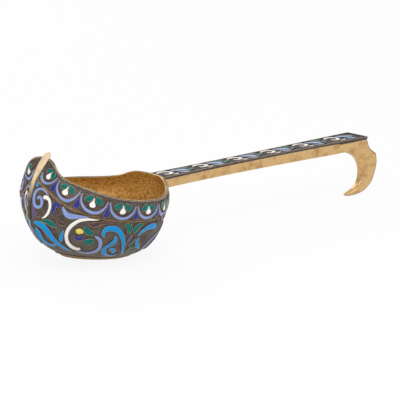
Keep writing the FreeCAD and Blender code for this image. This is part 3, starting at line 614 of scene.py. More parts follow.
@dataclass(frozen=True)
class CellWork:
    """Cells of enamel with their wires, laid on a surface."""

    lay: Lay
    mirrored: bool
    steps: int = 6
    least_width: float = 0.15
    under: float = -0.1
    edge: float = 0.26
    dome: float = 0.36
    across: Values = (-1.0, -1.0, -0.82, -0.45, 0.0, 0.45, 0.82, 1.0, 1.0)
    wire_radius: float = 0.13
    wire_sides: int = 6
    wire_lift: float = 0.24
    wire_reach: float = 0.1

    def spine(self, path: Path) -> tuple[Array, Array, Array, Array]:
        """Centre points, outward and side vectors and half widths of a smooth stroke."""
        rows = smooth_path(path, self.steps)
        centre, outward = self.lay(rows[:, 0], rows[:, 1])
        side = unit(np.cross(outward, np.gradient(centre, axis=0)))
        return centre, outward, side, np.maximum(rows[:, 2], self.least_width) / 2

    def tile(self, path: Path) -> Array:
        """Domed stroke of enamel.

        The section is centre + side * half width * a + outward * lift, where the lift is edge + (dome - edge)
        * (1 - a * a), and sinks under the metal at both sides. The ends close to a point.
        """
        centre, outward, side, half = self.spine(path)
        across = np.array(self.across)
        lift = self.edge + (self.dome - self.edge) * (1 - across ** 2)
        lift[[0, -1]] = self.under
        return capped(centre[:, None] + side[:, None] * half[:, None, None] * across[None, :, None]
                      + outward[:, None] * lift[None, :, None])

    def wire(self, path: Path) -> Array:
        """Wire round a stroke: out along one edge and back along the other."""
        centre, outward, side, half = self.spine(path)
        reach = (half + self.wire_radius * self.wire_reach)[:, None]
        loop = np.concatenate((centre + side * reach, (centre - side * reach)[::-1]))
        normals = np.concatenate((outward, outward[::-1]))
        forward = np.roll(loop, -1, axis=0) - np.roll(loop, 1, axis=0)
        return carried(loop, forward, normals, self.wire_radius, circle(self.wire_sides), self.wire_lift)

    def add(self, tiles: Mesh, wires: Mesh, path: Path) -> None:
        """Adds one cell, on both sides where the work is mirrored."""
        for mesh, points, loop_rows in ((tiles, self.tile(path), False), (wires, self.wire(path), True)):
            place = mesh.both if self.mirrored else mesh.grid
            place(points, loop_rows=loop_rows, loop_columns=True)


def enamelled(groups: Sequence[tuple[CellWork, Group]], wires_name: str) -> None:
    """Makes a piece of each group's cells, and one of all their wires.

    Args:
        groups: each group of cells with the work that lays it.
        wires_name: name of the wires' piece.
    """
    wires = Mesh()
    for work, (colour, node, slot, paths) in groups:
        tiles = Mesh()
        for path in paths:
            work.add(tiles, wires, path)
        finished(tiles, "cells_" + node, [colour], CELL_SHARP_ANGLE, slot, node)
    finished(wires, wires_name, [Colour.CELL], CELL_SHARP_ANGLE, "gilt_trim")


@dataclass
class Bowl:
    """The raised bowl with its rim, wires and prow strip."""

    form: BowlForm
    wall: float = 0.8
    belly_rows: int = 40
    frieze_rows: int = 18
    columns: int = 150
    crowding: float = 1.15
    rim_turns: int = 7
    lip_rise: float = 0.12
    sharp_angle: float = 50.0
    band_height: float = 0.35
    band_thick: float = 0.3
    band_points: int = 220
    band_profile: tuple[Pair, ...] = (
        (0.0, -0.1), (0.0, 0.7), (0.07, 0.92), (0.2, 1.0), (0.8, 1.0), (0.93, 0.92), (1.0, 0.7), (1.0, -0.1))
    rope_radius: float = 0.18
    rope_lobe: float = 0.07
    rope_pitch: float = 0.9
    rope_strands: int = 2
    rope_sides: int = 10
    rope_gap: float = 0.08
    rope_end: float = 4.6
    rope_points: int = 1500
    wire_radius: float = 0.22
    wire_sides: int = 8
    wire_points: int = 260
    wire_sharp_angle: float = 60.0
    twin_drop: float = 0.3
    twin_radius: float = 0.15
    strip_rows: int = 60
    strip_columns: int = 17
    strip_thick: float = 0.695
    strip_heights: Values = (0.6, 0.75, 0.9, 1.1, 1.5, 2.0, 2.2)
    strip_halves: Values = (0.3, 0.5, 0.75, 1.15, 1.55, 1.9, 2.1)
    strip_gable: float = 0.13
    gable_power: int = 6
    strip_fall: float = 0.85
    fall_power: int = 5
    lean_power: float = 0.7
    strip_sharp_angle: float = 45.0
    seat: float = 0.15
    line_start: float = 1.1
    base_height: float = 0.06

    def skin(self, lift: float, floor: float) -> Array:
        """Rows of one skin from the foot to the rim, the lowest row level with the floor of that skin."""
        heights = np.concatenate((np.linspace(0, 1, self.belly_rows),
                                  np.linspace(1, 2, self.frieze_rows)[1:]))
        start = self.form.ridge_start(heights, lift)[:, None]
        share = np.linspace(0, 1, self.columns)[None, :] ** self.crowding
        stations = start + (LAST_STATION - start) * share
        points = self.form.raised(stations, np.repeat(heights[:, None], self.columns, axis=1), lift)
        points[:, [0, -1], 1] = 0.0
        points[0, :, 2] = floor
        return points

    def body(self) -> None:
        """Closed shell: bottom, outer skin, rounded lip, inner skin and inner bottom, near and far halves."""
        outer = self.skin(0.0, self.form.foot_height)
        inner = self.skin(-self.wall, self.form.foot_height + self.wall)
        turn = np.linspace(0, 1, self.rim_turns + 2)[1:-1, None, None]
        lip = outer[-1] * (1 - turn) + inner[-1] * turn
        lip[..., 2] += self.lip_rise * np.sin(math.pi * turn[..., 0])
        mesh = Mesh()
        for rows, finish in ((outer, 0), (np.concatenate((outer[-1:], lip, inner[-1:])), 2), (inner, 1)):
            mesh.both(rows, finish=finish)
        for row, finish in ((outer[0], 0), (inner[0], 1)):
            centre = np.repeat(row.mean(axis=0)[None] * np.array((1.0, 0.0, 1.0)), len(row), axis=0)
            mesh.both(np.stack((row, centre)), finish=finish)
        colours = (Colour.GROUND, Colour.LINING, Colour.LIP)
        finished(mesh, "bowl", colours, self.sharp_angle, "gilt_body", "bowl_shell")

    def side_station(self, height: float, distance: float) -> float:
        """Station at a distance from the prow's ridge."""
        pair = self.form.point(np.array([0.0, STEP]), np.array([height, height]))
        return distance / float(np.linalg.norm(pair[1] - pair[0])) * STEP

    def beside_strip(self) -> float:
        """Station at the strip's edge on the rim."""
        return self.side_station(AT_RIM, self.strip_halves[-1]) + STEP

    def rim_band(self) -> None:
        """Plain moulding outside the lip, its outer edges rounded."""
        start = self.beside_strip()
        top, outward = self.form.ring(start, AT_RIM, 0.0, self.band_points)
        low = self.form.ring(start, AT_RIM, self.band_height, self.band_points)[0]
        drop, lift = np.array(self.band_profile).T[:, None, :, None]
        lift = lift * self.band_thick
        points = top[:, None] * (1 - drop) + low[:, None] * drop + outward[:, None] * lift
        mesh = Mesh()
        mesh.both(capped(points), loop_columns=True)
        finished(mesh, "rim_moulding", [Colour.LIP], self.sharp_angle, "gilt_trim", "rim_band")

    def twisted(self, centres: Array, outward: Array) -> Array:
        """Strands twisted to a wire: radius r + lobe * cos(strands * (a - turn)), turning on the way."""
        steps = np.linalg.norm(np.diff(centres, axis=0), axis=1)
        turn = np.concatenate(([0.0], np.cumsum(steps))) / self.rope_pitch * math.pi
        angle = circle(self.rope_sides)
        lobes = self.rope_lobe * np.cos(self.rope_strands * (angle[None, :] - turn[:, None]))
        return carried(centres, np.gradient(centres, axis=0), outward, self.rope_radius + lobes, angle,
                       self.rope_radius)

    def rope(self) -> None:
        """Twisted wire under the moulding."""
        drop = self.band_height + self.rope_radius + self.rope_gap
        centres, outward = self.form.ring(self.beside_strip(), AT_RIM, drop, self.rope_points)
        keep = np.abs(centres[:, 1]) > self.rope_end
        keep[:self.rope_points // 2] = True
        mesh = Mesh()
        mesh.both(capped(self.twisted(centres[keep], outward[keep])), loop_columns=True)
        finished(mesh, "rim_rope", [Colour.ROPE], self.wire_sharp_angle, "gilt_trim", "rim_rope_wire")

    def plain_wire(self, name: str, node: str, start: float, height: float, twin: bool) -> None:
        """Plain half-sunk wire round the bowl at a height.

        Args:
            name: the piece's name.
            node: the solid that it stands for.
            start: first station.
            height: height on the skin.
            twin: whether a thin wire runs above it.
        """
        mesh = Mesh()
        angle = circle(self.wire_sides)
        wires = ((self.wire_radius, self.wire_radius), (-self.twin_drop, self.twin_radius))
        for drop, radius in wires if twin else wires[:1]:
            centres, outward = self.form.ring(start, height, drop, self.wire_points)
            forward = np.gradient(centres, axis=0)
            points = carried(centres, forward, outward, radius, angle, self.seat)
            mesh.both(capped(points), loop_columns=True)
        finished(mesh, name, [Colour.BORDER], self.wire_sharp_angle, "gilt_trim", node)

    def strip(self) -> None:
        """Strip over the prow's ridge.

        The section is a flattened arch across the ridge: lift = thick * (1 - fall * |a| ** fall_power) over
        the points of the two sides at half width * |a|. Its lower end is narrow, and its upper end is cut as
        a gable.
        """
        heights = np.linspace(self.strip_heights[0], self.strip_heights[-1], self.strip_rows)
        halves = np.interp(heights, self.strip_heights, self.strip_halves)
        across = np.sin(np.linspace(-1, 1, self.strip_columns) * math.pi / 2)
        reach = np.array([self.side_station(h, w) for h, w in zip(heights, halves)])
        away = np.abs(across)
        stations = reach[:, None] * away
        risen = ((heights - heights[0]) / (heights[-1] - heights[0])) ** self.gable_power
        tall = heights[:, None] - self.strip_gable * risen[:, None] * away
        skin, outward = self.form.lay(stations, tall)
        forward = self.form.directions(np.zeros_like(heights), heights)[2][:, None]
        lean = away[None, :, None] ** self.lean_power
        outward = unit(outward * lean + forward * (1 - lean))
        lift = self.strip_thick * (1 - self.strip_fall * away ** self.fall_power)
        upper = skin + outward * lift[None, :, None]
        lower = skin - outward * self.seat
        for rows in (upper, lower):
            rows[:, across > 0, 1] *= -1
        mesh = Mesh()
        mesh.grid(capped(np.concatenate((upper, lower[:, ::-1]), axis=1)), loop_columns=True)
        finished(mesh, "prow_band", [Colour.STRIP], self.strip_sharp_angle, "gilt_trim", "prow_strip")

    def build(self) -> None:
        """Makes every piece of the bowl."""
        self.body()
        self.rim_band()
        self.rope()
        start = self.side_station(AT_LINE, self.line_start)
        self.plain_wire("dividing_wire", "line_wire", start, AT_LINE, True)
        self.plain_wire("foot_wire", "base_wire", 0.0, self.base_height, False)
        self.strip()
        paint(bpy.data.objects["foot_ring"], Colour.FOOT)


def paint(node: bpy.types.Object, colour: Colour) -> None:
    """Gives a node of the solids a finish."""
    node.data.materials.clear()
    node.data.materials.append(colour.material())


@dataclass
class Ornament:
    """Enamel of the bowl.

    A scallop stands between two edges of the frieze. Its rows hold the share from edge to edge, the height
    and the width, and each edge leans along the stations with the height.
    """

    form: BowlForm
    edges: Values = (0.36, 1.56, 2.89, 3.94, 5.0, 6.0, 7.0, 8.05, 9.1)
    leans: Values = (0.75, 0.75, 0.29, 0.08, 0.0, 0.0, 0.0, 0.0, 0.0)
    lifts: Values = (0.05, 0.06, 0.01, 0.0, 0.0, 0.0, 0.0, 0.0, 0.0)
    sizes: Values = (0.8, 0.93, 0.96, 1.0, 1.0, 1.0, 0.88, 0.68, 0.5)
    lean_from: float = 1.4
    full_reach: float = 0.6
    full_colours: tuple[Colour, ...] = (Colour.TEAL, Colour.COBALT)
    flower_mirror: float = 10.9
    leaf_mirror: float = 13.85
    flower_range: Pair = (2.35, 3.95)
    leaf_range: Pair = (3.88, 5.3)
    scallop: Path = ((0.04, 1.74, 0.3), (0.08, 1.53, 0.55), (0.16, 1.34, 0.85), (0.33, 1.18, 1.1),
                     (0.52, 1.13, 1.2), (0.7, 1.18, 1.1), (0.84, 1.34, 0.85), (0.92, 1.53, 0.55),
                     (0.96, 1.74, 0.3))
    first_scallop: Path = ((0.09, 1.386, 0.5), (0.2, 1.214, 1.1), (0.37, 1.13, 1.2), (0.55, 1.136, 1.2),
                           (0.725, 1.244, 1.0), (0.84, 1.424, 0.8), (0.885, 1.6, 0.6), (0.905, 1.76, 0.3))
    drop: Path = ((0.5, 1.325, 1.1), (0.5, 1.37, 2.1), (0.5, 1.44, 2.5), (0.5, 1.52, 1.7), (0.5, 1.59, 0.8),
                  (0.5, 1.66, 0.5), (0.5, 1.72, 0.2))
    near_leaf: Path = ((0.19, 1.61, 0.4), (0.26, 1.6, 1.6), (0.33, 1.63, 2.1), (0.39, 1.71, 1.6),
                       (0.43, 1.8, 0.6))
    far_leaf: Path = ((0.57, 1.8, 0.6), (0.61, 1.71, 1.6), (0.68, 1.63, 2.1), (0.75, 1.585, 1.6),
                      (0.81, 1.57, 0.4))
    cobalt: Path = ((0, 1.09, 1.2), (0, 1.13, 1.9), (0, 1.2, 2.2), (0, 1.3, 1.9), (0, 1.4, 1.2),
                    (0, 1.52, 0.6), (0, 1.68, 0.2))

    def frieze(self, unit_number: int, rows: Path) -> Path:
        """Rows of share, height and width turned to stations."""
        edge = np.array(self.edges)[unit_number:unit_number + 2]
        lean = np.array(self.leans)[unit_number:unit_number + 2]
        table = np.array(rows, float)
        share = table[:, 0].copy()
        if len(edge) < 2:
            edge, lean = np.repeat(edge, 2), np.repeat(lean, 2)
        slope = lean[0] + (lean[1] - lean[0]) * share
        table[:, 1] += self.lifts[unit_number]
        table[:, 2] *= self.sizes[unit_number]
        table[:, 0] = edge[0] + (edge[1] - edge[0]) * share + slope * (table[:, 1] - self.lean_from)
        return [tuple(row) for row in table]

    def frieze_groups(self) -> list[Group]:
        """Cells of the frieze by colour."""
        units = range(len(self.edges) - 1)
        leaves = (self.near_leaf, self.far_leaf)
        return [(Colour.PALE, "frieze_scallops", "enamel_pale",
                 [self.frieze(k, self.scallop if k else self.first_scallop) for k in units]),
                (Colour.WHITE, "frieze_white_drops", "enamel_white",
                 [self.frieze(k, self.drop) for k in units]),
                (Colour.TEAL, "frieze_teal_leaves", "enamel_teal",
                 [self.frieze(k, leaf) for k in units for leaf in leaves]),
                (Colour.COBALT, "frieze_cobalt_drops", "enamel_cobalt",
                 [self.frieze(k, self.cobalt) for k in range(1, len(self.edges))])]

    def belly_paths(self, paths: Sequence[Path]) -> list[Path]:
        """Strokes of the belly, with the flower and the acanthus turned round towards the stern."""
        found = [tuple(path) for path in paths]
        ranges = ((*self.flower_range, self.flower_mirror), (*self.leaf_range, self.leaf_mirror))
        for first, last, mirror in ranges:
            for path in paths:
                if all(first <= row[0] <= last for row in path):
                    found.append(tuple((mirror - s, h, w) for s, h, w in path))
        return found

    def build(self) -> None:
        """Makes the cells of the frieze and the belly and all their wires."""
        slim = CellWork(self.form.lay, True)
        full = CellWork(self.form.lay, True, wire_reach=self.full_reach)
        groups = self.frieze_groups() + [(*group[:3], self.belly_paths(group[3])) for group in BELLY]
        works = [full if group[0] in self.full_colours else slim for group in groups]
        enamelled(list(zip(works, groups)), "cell_wires")


BELLY: tuple[Group, ...] = (
    (Colour.WHITE, "belly_white_scrolls", "enamel_white", (
        ((1.0, 0.912, 0.9), (1.08, 0.934, 1.6), (1.23, 0.943, 1.4), (1.37, 0.937, 1.2), (1.45, 0.905, 1.1),
         (1.46, 0.863, 1.0), (1.38, 0.8, 1.0), (1.2, 0.742, 0.8), (1.0, 0.706, 0.4)),
        ((3.7, 0.976, 0.2), (3.5, 0.958, 0.8), (3.32, 0.945, 1.1), (3.1, 0.912, 1.3), (2.92, 0.868, 1.4),
         (2.72, 0.798, 1.5), (2.56, 0.718, 1.4), (2.46, 0.63, 1.35), (2.43, 0.55, 1.4), (2.46, 0.468, 1.6),
         (2.6, 0.4, 1.8), (2.82, 0.38, 1.7), (3.0, 0.405, 1.3)))),
    (Colour.PALE, "belly_pale_scrolls", "enamel_pale", (
        ((1.28, 0.968, 0.3), (1.05, 0.98, 0.6), (0.78, 0.975, 0.8), (0.54, 0.95, 0.9), (0.37, 0.913, 1.0),
         (0.3, 0.873, 1.0), (0.3, 0.83, 1.0), (0.37, 0.793, 1.1), (0.54, 0.783, 1.2), (0.75, 0.8, 1.2),
         (0.89, 0.833, 1.05), (0.92, 0.868, 1.1), (0.84, 0.892, 1.1), (0.7, 0.895, 1.0), (0.6, 0.88, 0.8),
         (0.58, 0.86, 0.4)),
        ((2.2, 0.978, 0.4), (2.2, 0.958, 1.0), (2.28, 0.936, 1.4), (2.42, 0.912, 2.0), (2.6, 0.908, 2.1),
         (2.78, 0.922, 1.9), (2.99, 0.942, 1.4), (3.18, 0.96, 0.8), (3.32, 0.975, 0.3)),
        ((3.64, 0.722, 0.5), (3.74, 0.705, 1.1), (3.85, 0.66, 1.3), (3.89, 0.59, 1.3), (3.86, 0.49, 1.3),
         (3.72, 0.4, 1.4), (3.47, 0.33, 1.3), (3.2, 0.294, 1.1), (2.94, 0.296, 0.9), (2.68, 0.318, 0.4)),
        ((6.88, 0.75, 0.4), (6.6, 0.712, 0.8), (6.37, 0.65, 1.0), (6.21, 0.57, 1.0), (6.14, 0.48, 0.9),
         (6.2, 0.4, 0.4)))),
    (Colour.AZURE, "belly_azure_scrolls", "enamel_azure", (
        ((0.3, 0.984, 0.4), (0.33, 0.976, 1.1), (0.37, 0.968, 1.2), (0.39, 0.958, 0.5)),
        ((0.25, 0.572, 0.6), (0.42, 0.595, 1.6), (0.68, 0.604, 2.1), (1.0, 0.606, 2.3), (1.24, 0.569, 2.3),
         (1.41, 0.508, 2.2), (1.6, 0.45, 1.9), (1.8, 0.387, 1.7), (2.04, 0.328, 1.4), (2.36, 0.284, 0.4)),
        ((0.33, 0.525, 0.6), (0.34, 0.492, 1.4), (0.36, 0.45, 1.6), (0.38, 0.395, 1.4), (0.5, 0.338, 1.4),
         (0.8, 0.31, 1.4), (1.2, 0.328, 1.5), (1.52, 0.37, 0.7)),
        ((2.34, 0.69, 0.3), (2.21, 0.61, 1.2), (2.1, 0.525, 1.4), (2.02, 0.465, 0.7)),
        ((3.99, 0.73, 0.5), (3.94, 0.768, 1.2), (3.93, 0.812, 1.5), (3.99, 0.856, 1.9), (4.14, 0.884, 2.2),
         (4.33, 0.882, 2.1), (4.51, 0.84, 1.9), (4.66, 0.765, 1.7), (4.79, 0.664, 1.5), (4.88, 0.545, 1.2),
         (4.98, 0.41, 0.9), (5.09, 0.3, 0.4)),
        ((4.38, 0.765, 0.7), (4.43, 0.721, 1.4), (4.41, 0.666, 1.7), (4.33, 0.605, 1.7), (4.22, 0.557, 1.5),
         (4.11, 0.512, 1.5), (4.05, 0.45, 1.7), (4.07, 0.375, 1.6), (4.17, 0.305, 1.4), (4.38, 0.26, 1.2),
         (4.6, 0.268, 1.0), (4.74, 0.325, 0.4)),
        ((4.28, 0.47, 0.8), (4.39, 0.483, 1.5), (4.5, 0.452, 1.6), (4.54, 0.395, 1.3), (4.49, 0.35, 0.4)),
        ((6.26, 0.868, 1.0), (6.12, 0.886, 2.2), (5.93, 0.897, 2.2), (5.74, 0.887, 1.9), (5.58, 0.858, 1.5),
         (5.44, 0.815, 1.2), (5.33, 0.768, 0.5)),
        ((5.42, 0.735, 0.5), (5.42, 0.672, 1.3), (5.51, 0.592, 1.5), (5.67, 0.518, 1.3),
         (5.86, 0.468, 0.4)))),
    (Colour.TEAL, "belly_teal_leaves", "enamel_teal", (
        ((0.9, 0.667, 0.3), (1.22, 0.692, 1.4), (1.52, 0.705, 2.0), (1.76, 0.701, 1.8), (1.95, 0.682, 0.4)),
        ((3.25, 0.845, 0.5), (3.29, 0.807, 1.6), (3.39, 0.776, 2.1), (3.5, 0.758, 2.0), (3.59, 0.754, 0.7)),
        ((3.28, 0.618, 0.6), (3.34, 0.604, 2.2), (3.43, 0.598, 3.2), (3.53, 0.628, 2.4),
         (3.59, 0.665, 0.5)),
        ((4.64, 0.958, 0.4), (4.78, 0.938, 1.6), (4.88, 0.9, 2.0), (4.9, 0.855, 1.8), (4.88, 0.81, 0.4)),
        ((5.45, 0.945, 0.4), (5.3, 0.935, 1.6), (5.2, 0.905, 2.1), (5.14, 0.858, 1.8), (5.13, 0.812, 0.4)),
        ((5.36, 0.37, 0.4), (5.25, 0.43, 1.0), (5.24, 0.49, 1.1), (5.35, 0.525, 1.1), (5.5, 0.505, 0.4)),
        ((5.3, 0.715, 0.3), (5.24, 0.665, 0.8), (5.17, 0.61, 0.9), (5.12, 0.555, 0.3)))),
    (Colour.COBALT, "belly_cobalt_leaves", "enamel_cobalt", (
        ((1.99, 0.938, 0.8), (1.91, 0.955, 1.4), (1.78, 0.957, 1.5), (1.71, 0.93, 1.5), (1.69, 0.888, 1.2),
         (1.66, 0.845, 0.9), (1.6, 0.803, 0.3)),
        ((2.84, 0.652, 0.5), (2.93, 0.624, 1.5), (3.04, 0.62, 2.2), (3.15, 0.642, 2.2), (3.24, 0.66, 0.5)))),
    (Colour.LILAC, "belly_lilac_leaves", "enamel_lilac", (
        ((0.28, 0.765, 0.4), (0.34, 0.728, 1.1), (0.35, 0.68, 1.2), (0.28, 0.635, 0.4)),
        ((5.04, 0.79, 0.4), (5.03, 0.748, 1.2), (5.01, 0.688, 1.1), (4.98, 0.625, 0.3)),
        ((6.56, 0.975, 0.3), (6.68, 0.955, 1.2), (6.8, 0.92, 0.3)))),
    (Colour.MAROON, "belly_maroon_leaves", "enamel_maroon", (
        ((0.53, 0.715, 0.4), (0.69, 0.71, 1.3), (0.86, 0.712, 0.5)),
        ((2.0, 0.819, 0.5), (2.06, 0.79, 1.3), (2.21, 0.772, 1.5), (2.36, 0.782, 1.1), (2.46, 0.808, 0.4)),
        ((3.36, 0.9, 0.5), (3.48, 0.886, 1.5), (3.61, 0.898, 2.0), (3.75, 0.928, 1.5), (3.9, 0.95, 1.1),
         (4.05, 0.96, 0.7), (4.18, 0.958, 0.3)))),
    (Colour.YELLOW, "belly_yellow_buds", "enamel_yellow", (
        ((2.91, 0.752, 0.7), (2.98, 0.748, 2.1), (3.06, 0.745, 2.5), (3.14, 0.738, 2.0),
         (3.19, 0.728, 0.5)),)),
)


@dataclass
class Handle:
    """The handle's enamel and wires, and the finish of its folded body."""

    form: HandleForm
    margin: float = 4.0
    pitch: float = 18.2
    fullness: float = 1.15
    end_gap: float = 1.2
    groups: tuple[Group, ...] = (
        (Colour.WHITE, "handle_white_scrolls", "enamel_white", (
            ((-0.2, 0.35, 0.5), (-0.12, 0.58, 1.1), (0, 0.6, 1.3), (0.09, 0.38, 1.4), (0.11, 0, 1.4),
             (0.03, -0.3, 1.2), (-0.07, -0.28, 1.0), (-0.1, 0, 0.6)),
            ((0.02, -0.62, 0.4), (0.1, -0.66, 1.0), (0.18, -0.6, 0.5)))),
        (Colour.SKY, "handle_pale_leaves", "enamel_pale", (
            ((0.2, 0.5, 0.5), (0.28, 0.42, 1.6), (0.38, 0.2, 2.2), (0.48, -0.02, 1.9), (0.56, -0.14, 0.6)),
            ((0.25, -0.3, 0.4), (0.32, -0.5, 1.2), (0.42, -0.6, 1.3), (0.5, -0.6, 0.4)))),
        (Colour.TEAL, "handle_teal_leaves", "enamel_teal", (
            ((0.42, 0.64, 0.4), (0.52, 0.55, 1.4), (0.62, 0.5, 1.4), (0.7, 0.58, 0.4)),
            ((0.56, -0.45, 0.4), (0.62, -0.2, 1.4), (0.7, 0.02, 1.4), (0.76, 0.16, 0.4)))))

    def placed(self, path: Path) -> list[Path]:
        """One stroke at every repeat along the plate."""
        found: list[Path] = []
        middle = self.form.root_x + self.margin
        while middle < self.form.end_x - self.margin:
            rows = np.array(path, float)
            rows[:, 0] = middle + rows[:, 0] * self.pitch
            rows[:, 1] *= self.form.half_width(rows[:, 0])
            rows[:, 2] *= self.fullness
            if rows[-1, 0] < self.form.end_x - self.end_gap:
                found.append([tuple(row) for row in rows])
            middle += self.pitch
        return found

    def build(self) -> None:
        """Makes the cells and their wires and dresses the solids."""
        work = CellWork(self.form.lay, False)
        enamelled([(work, (*group[:3], [rows for path in group[3] for rows in self.placed(path)]))
                   for group in self.groups], "handle_cell_wires")
        for node, colour in (("handle_channel", Colour.BODY), ("handle_top_plate", Colour.PLATE),
                             ("handle_wire_near", Colour.BORDER), ("handle_wire_far", Colour.BORDER),
                             ("handle_end_wire", Colour.BORDER)):
            paint(bpy.data.objects[node], colour)


@dataclass(frozen=True)
class Hook:
    """Cast hook at the handle's end, wide at its back and narrow inside, with its corners rounded.

    Its edges hold shares of the drop along and down from the plate's end, and of the plate's half width.
    """

    form: HandleForm
    drop: float = 24.1
    joint_x: float = 122.4
    root_depth: float = 3.8
    end_depth: float = 4.7
    under_plate: float = 0.64
    neck_rise: float = 0.25
    neck_width_share: float = 0.84
    inner: Path = ((-0.282, -0.273, 0.54), (-0.086, -0.329, 0.3), (0.033, -0.41, 0.225),
                   (0.103, -0.513, 0.215), (0.142, -0.615, 0.225), (0.145, -0.733, 0.235),
                   (0.111, -0.816, 0.225), (0.028, -0.889, 0.195), (-0.08, -0.938, 0.16),
                   (-0.149, -0.967, 0.11), (-0.175, -0.983, 0.07))
    cove: Path = ((0.041, -0.091, 0.97), (0.116, -0.187, 0.93))
    back: Path = ((0.303, -0.282, 0.86), (0.372, -0.435, 0.75), (0.389, -0.618, 0.6), (0.349, -0.79, 0.47),
                  (0.221, -0.924, 0.355), (0.033, -0.993, 0.245), (-0.129, -1.012, 0.15),
                  (-0.172, -1.003, 0.07))
    steps: int = 8
    corner: float = 0.45
    corner_share: float = 0.4
    corner_points: int = 5
    draw_in: float = 0.05
    crease_share: float = 0.36
    crease_rise: float = 0.4
    crease_spans: int = 3
    crease_fade: float = 0.3
    sharp_angle: float = 40.0

    def shared(self, rows: Path) -> list[Array]:
        """Points from shares of the drop and the half width."""
        half = self.form.plan_half[-1]
        return [np.array((self.form.end_x + self.drop * a, half * w, self.form.end_z + self.drop * d))
                for a, d, w in rows]

    def edges(self) -> tuple[Array, Array]:
        """Far inner and far back edges from the joint to the tip, point for point."""
        places = np.array((self.joint_x, (self.joint_x + self.form.end_x) / 2, self.form.end_x))
        half, top = self.form.half_width(places), self.form.top(places)
        tops = [np.array(p) for p in zip(places, half, top - self.under_plate)]
        share = (places - self.form.root_x) / (self.form.end_x - self.form.root_x)
        low = top - self.root_depth - (self.end_depth - self.root_depth) * share
        inner = [np.array((places[0], half[0], low[0])),
                 np.array((places[1], half[1] * self.neck_width_share, low[1] - self.neck_rise))]
        inner_edge = smooth_path(inner + self.shared(self.inner), self.steps)
        parts = [smooth_path(rows, self.steps) for rows in (
            tops, tops[-1:] + self.shared((*self.cove, self.back[0])), self.shared(self.back))]
        return inner_edge, np.concatenate((parts[0], parts[1][1:], parts[2][1:]))

    def rounded(self, corners: Array) -> Array:
        """Rings of four corners with each corner turned to a quadratic curve."""
        before, after = np.roll(corners, 1, axis=1) - corners, np.roll(corners, -1, axis=1) - corners
        most = [self.corner_share * np.linalg.norm(way, axis=-1, keepdims=True) for way in (before, after)]
        reach = [unit(way) * np.minimum(self.corner, m) for way, m in zip((before, after), most)]
        t = np.linspace(0, 1, self.corner_points)[None, None, :, None]
        rings = corners[:, :, None] + reach[0][:, :, None] * (1 - t) ** 2 + reach[1][:, :, None] * t ** 2
        return rings.reshape(len(corners), -1, 3)

    def build(self) -> None:
        """Makes the hook, with painted shade on its two back corners."""
        inner, back = self.edges()
        back = back + unit(inner - back) * self.draw_in
        crease = inner + (back - inner) * self.crease_share
        count = len(inner)
        bend = np.clip(np.arange(count) / (self.steps * self.crease_spans) - 1, 0, 1)
        crease[:, 1] += self.crease_rise * (bend * np.linspace(1, self.crease_fade, count))
        rows = (inner, crease, back)
        rings = capped(self.rounded(np.stack((*rows, *(flipped(row) for row in rows[::-1])), axis=1)))
        bounds = [k * self.corner_points for k in (2, 3, 4)]
        mesh = Mesh()
        # The two back corners take slot 1, painted shade: dark gilding that stands in for the shade along the
        # back edges.
        mesh.grid(rings[:, bounds[0]:bounds[1]], finish=1)
        mesh.grid(rings[:, bounds[1] - 1:bounds[1] + 1])
        mesh.grid(rings[:, bounds[1]:bounds[2]], finish=1)
        mesh.grid(np.concatenate((rings[:, bounds[2] - 1:], rings[:, :bounds[0] + 1]), axis=1))
        finished(mesh, "hook", (Colour.BODY, Colour.SHADE), self.sharp_angle, "gilt_body", "handle_hook")


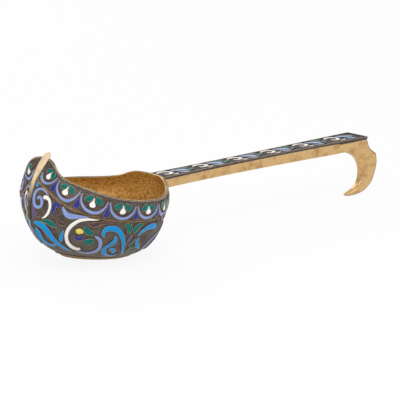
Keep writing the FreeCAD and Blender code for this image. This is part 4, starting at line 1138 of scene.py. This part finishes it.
@dataclass(frozen=True)
class Studio:
    """Pale floor, soft light and the camera at the photograph's angle."""

    azimuth: float = 45.0
    elevation: float = 14.2
    distance: float = 900.0
    lens: float = 224.8
    right_of_origin: float = 38.2
    above_origin: float = 19.57
    fitted_angle: float = 7.69
    clip: Pair = (0.01, 20.0)
    floor_reach: float = 6.0
    floor_tone: float = 0.86
    floor_glow: float = 0.9
    world_light: float = 0.62
    lamps: tuple[tuple[str, Triple, float, float], ...] = (
        ("key_lamp", (-0.55, -0.45, 0.75), 0.5, 4.2), ("fill_lamp", (0.6, -0.7, 0.5), 0.6, 2.0),
        ("rim_lamp", (0.2, 0.8, 0.6), 0.5, 2.2))

    def camera(self) -> None:
        """Camera past the foot's middle, turned by the small gap between the fitted and the rest angle."""
        turn, tilt = math.radians(self.azimuth), math.radians(self.elevation)
        right = np.array((math.cos(turn), -math.sin(turn), 0.0))
        up = np.array((math.sin(turn) * math.sin(tilt), math.cos(turn) * math.sin(tilt), math.cos(tilt)))
        back = np.array((-math.sin(turn) * math.cos(tilt), -math.cos(turn) * math.cos(tilt), math.sin(tilt)))
        slip = REST_ANGLE - math.radians(self.fitted_angle)
        cosine, sine = math.cos(slip), math.sin(slip)
        lean = np.array(((cosine, 0, sine), (0, 1, 0), (-sine, 0, cosine)))
        right, up, back = lean @ right, lean @ up, lean @ back
        place = (np.array(REST_SHIFT) + right * self.right_of_origin + up * self.above_origin
                 + back * self.distance) * MM
        data = bpy.data.cameras.new("camera")
        data.lens = self.lens
        data.clip_start, data.clip_end = self.clip
        eye = bpy.data.objects.new("camera", data)
        eye.matrix_world = stood((right, up, back), place)
        bpy.context.scene.collection.objects.link(eye)
        bpy.context.scene.camera = eye

    @staticmethod
    def seen_by(tree: bpy.types.NodeTree, other: str) -> Socket:
        """1 for camera rays and for one other kind of ray, and 0 for the rest."""
        rays = tree.nodes.new("ShaderNodeLightPath")
        most = tree.nodes.new("ShaderNodeMath")
        most.operation = "MAXIMUM"
        for k, kind in enumerate(("Is Camera Ray", other)):
            tree.links.new(rays.outputs[kind], most.inputs[k])
        return most.outputs[0]

    def floor(self) -> None:
        """Large pale floor that shows white and keeps a soft shadow."""
        mesh = bpy.data.meshes.new("floor")
        reach = self.floor_reach
        mesh.from_pydata([(-reach, -reach, 0), (reach, -reach, 0), (reach, reach, 0), (-reach, reach, 0)], [],
                         [(0, 1, 2, 3)])
        floor = bpy.data.objects.new("floor", mesh)
        bpy.context.scene.collection.objects.link(floor)
        graph = Graph("pale_floor")
        graph.shader.inputs["Base Color"].default_value = (*[self.floor_tone] * 3, 1.0)
        graph.shader.inputs["Roughness"].default_value = 1.0
        glow = graph.node("ShaderNodeEmission", Strength=1.0)
        share = graph.spread(self.seen_by(graph.tree, "Is Glossy Ray"), 0.0, 1.0, 0.0, self.floor_glow)
        mix = graph.node("ShaderNodeMixShader")
        graph.join(share, mix.inputs[0])
        graph.join(graph.shader.outputs[0], mix.inputs[1])
        graph.join(glow.outputs[0], mix.inputs[2])
        graph.join(mix.outputs[0], graph.tree.nodes["Material Output"].inputs["Surface"])
        mesh.materials.append(graph.material)

    def world(self) -> None:
        """Even white surroundings, weaker as light than as a view."""
        world = bpy.data.worlds.new("studio")
        bpy.context.scene.world = world
        world.use_nodes = True
        tree = world.node_tree
        back = tree.nodes["Background"]
        back.inputs["Color"].default_value = (1.0, 1.0, 1.0, 1.0)
        level = tree.nodes.new("ShaderNodeMapRange")
        level.inputs["To Min"].default_value = self.world_light
        tree.links.new(self.seen_by(tree, "Is Transmission Ray"), level.inputs["Value"])
        tree.links.new(level.outputs["Result"], back.inputs["Strength"])

    def lamp(self, name: str, place: Triple, size: float, power: float) -> None:
        """Square soft lamp that faces the ladle."""
        data = bpy.data.lights.new(name, "AREA")
        data.size, data.energy = size, power
        lamp = bpy.data.objects.new(name, data)
        aim = np.array(place) / np.linalg.norm(place)
        side = unit(np.cross((0.0, 0.0, 1.0), aim))
        top = np.cross(aim, side)
        lamp.matrix_world = stood((side, top, aim), place)
        bpy.context.scene.collection.objects.link(lamp)

    def build(self) -> None:
        """Sets the stage."""
        self.camera()
        self.floor()
        self.world()
        for lamp in self.lamps:
            self.lamp(*lamp)
        bpy.context.scene.view_settings.view_transform = "Standard"


def main() -> None:
    """Builds the stage and the ladle in order."""
    logging.basicConfig(level=logging.INFO, format="%(message)s")
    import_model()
    Studio().build()
    form = BowlForm()
    Bowl(form).build()
    Ornament(form).build()
    handle = HandleForm()
    Handle(handle).build()
    Hook(handle).build()


if __name__ == "__main__":
    main()
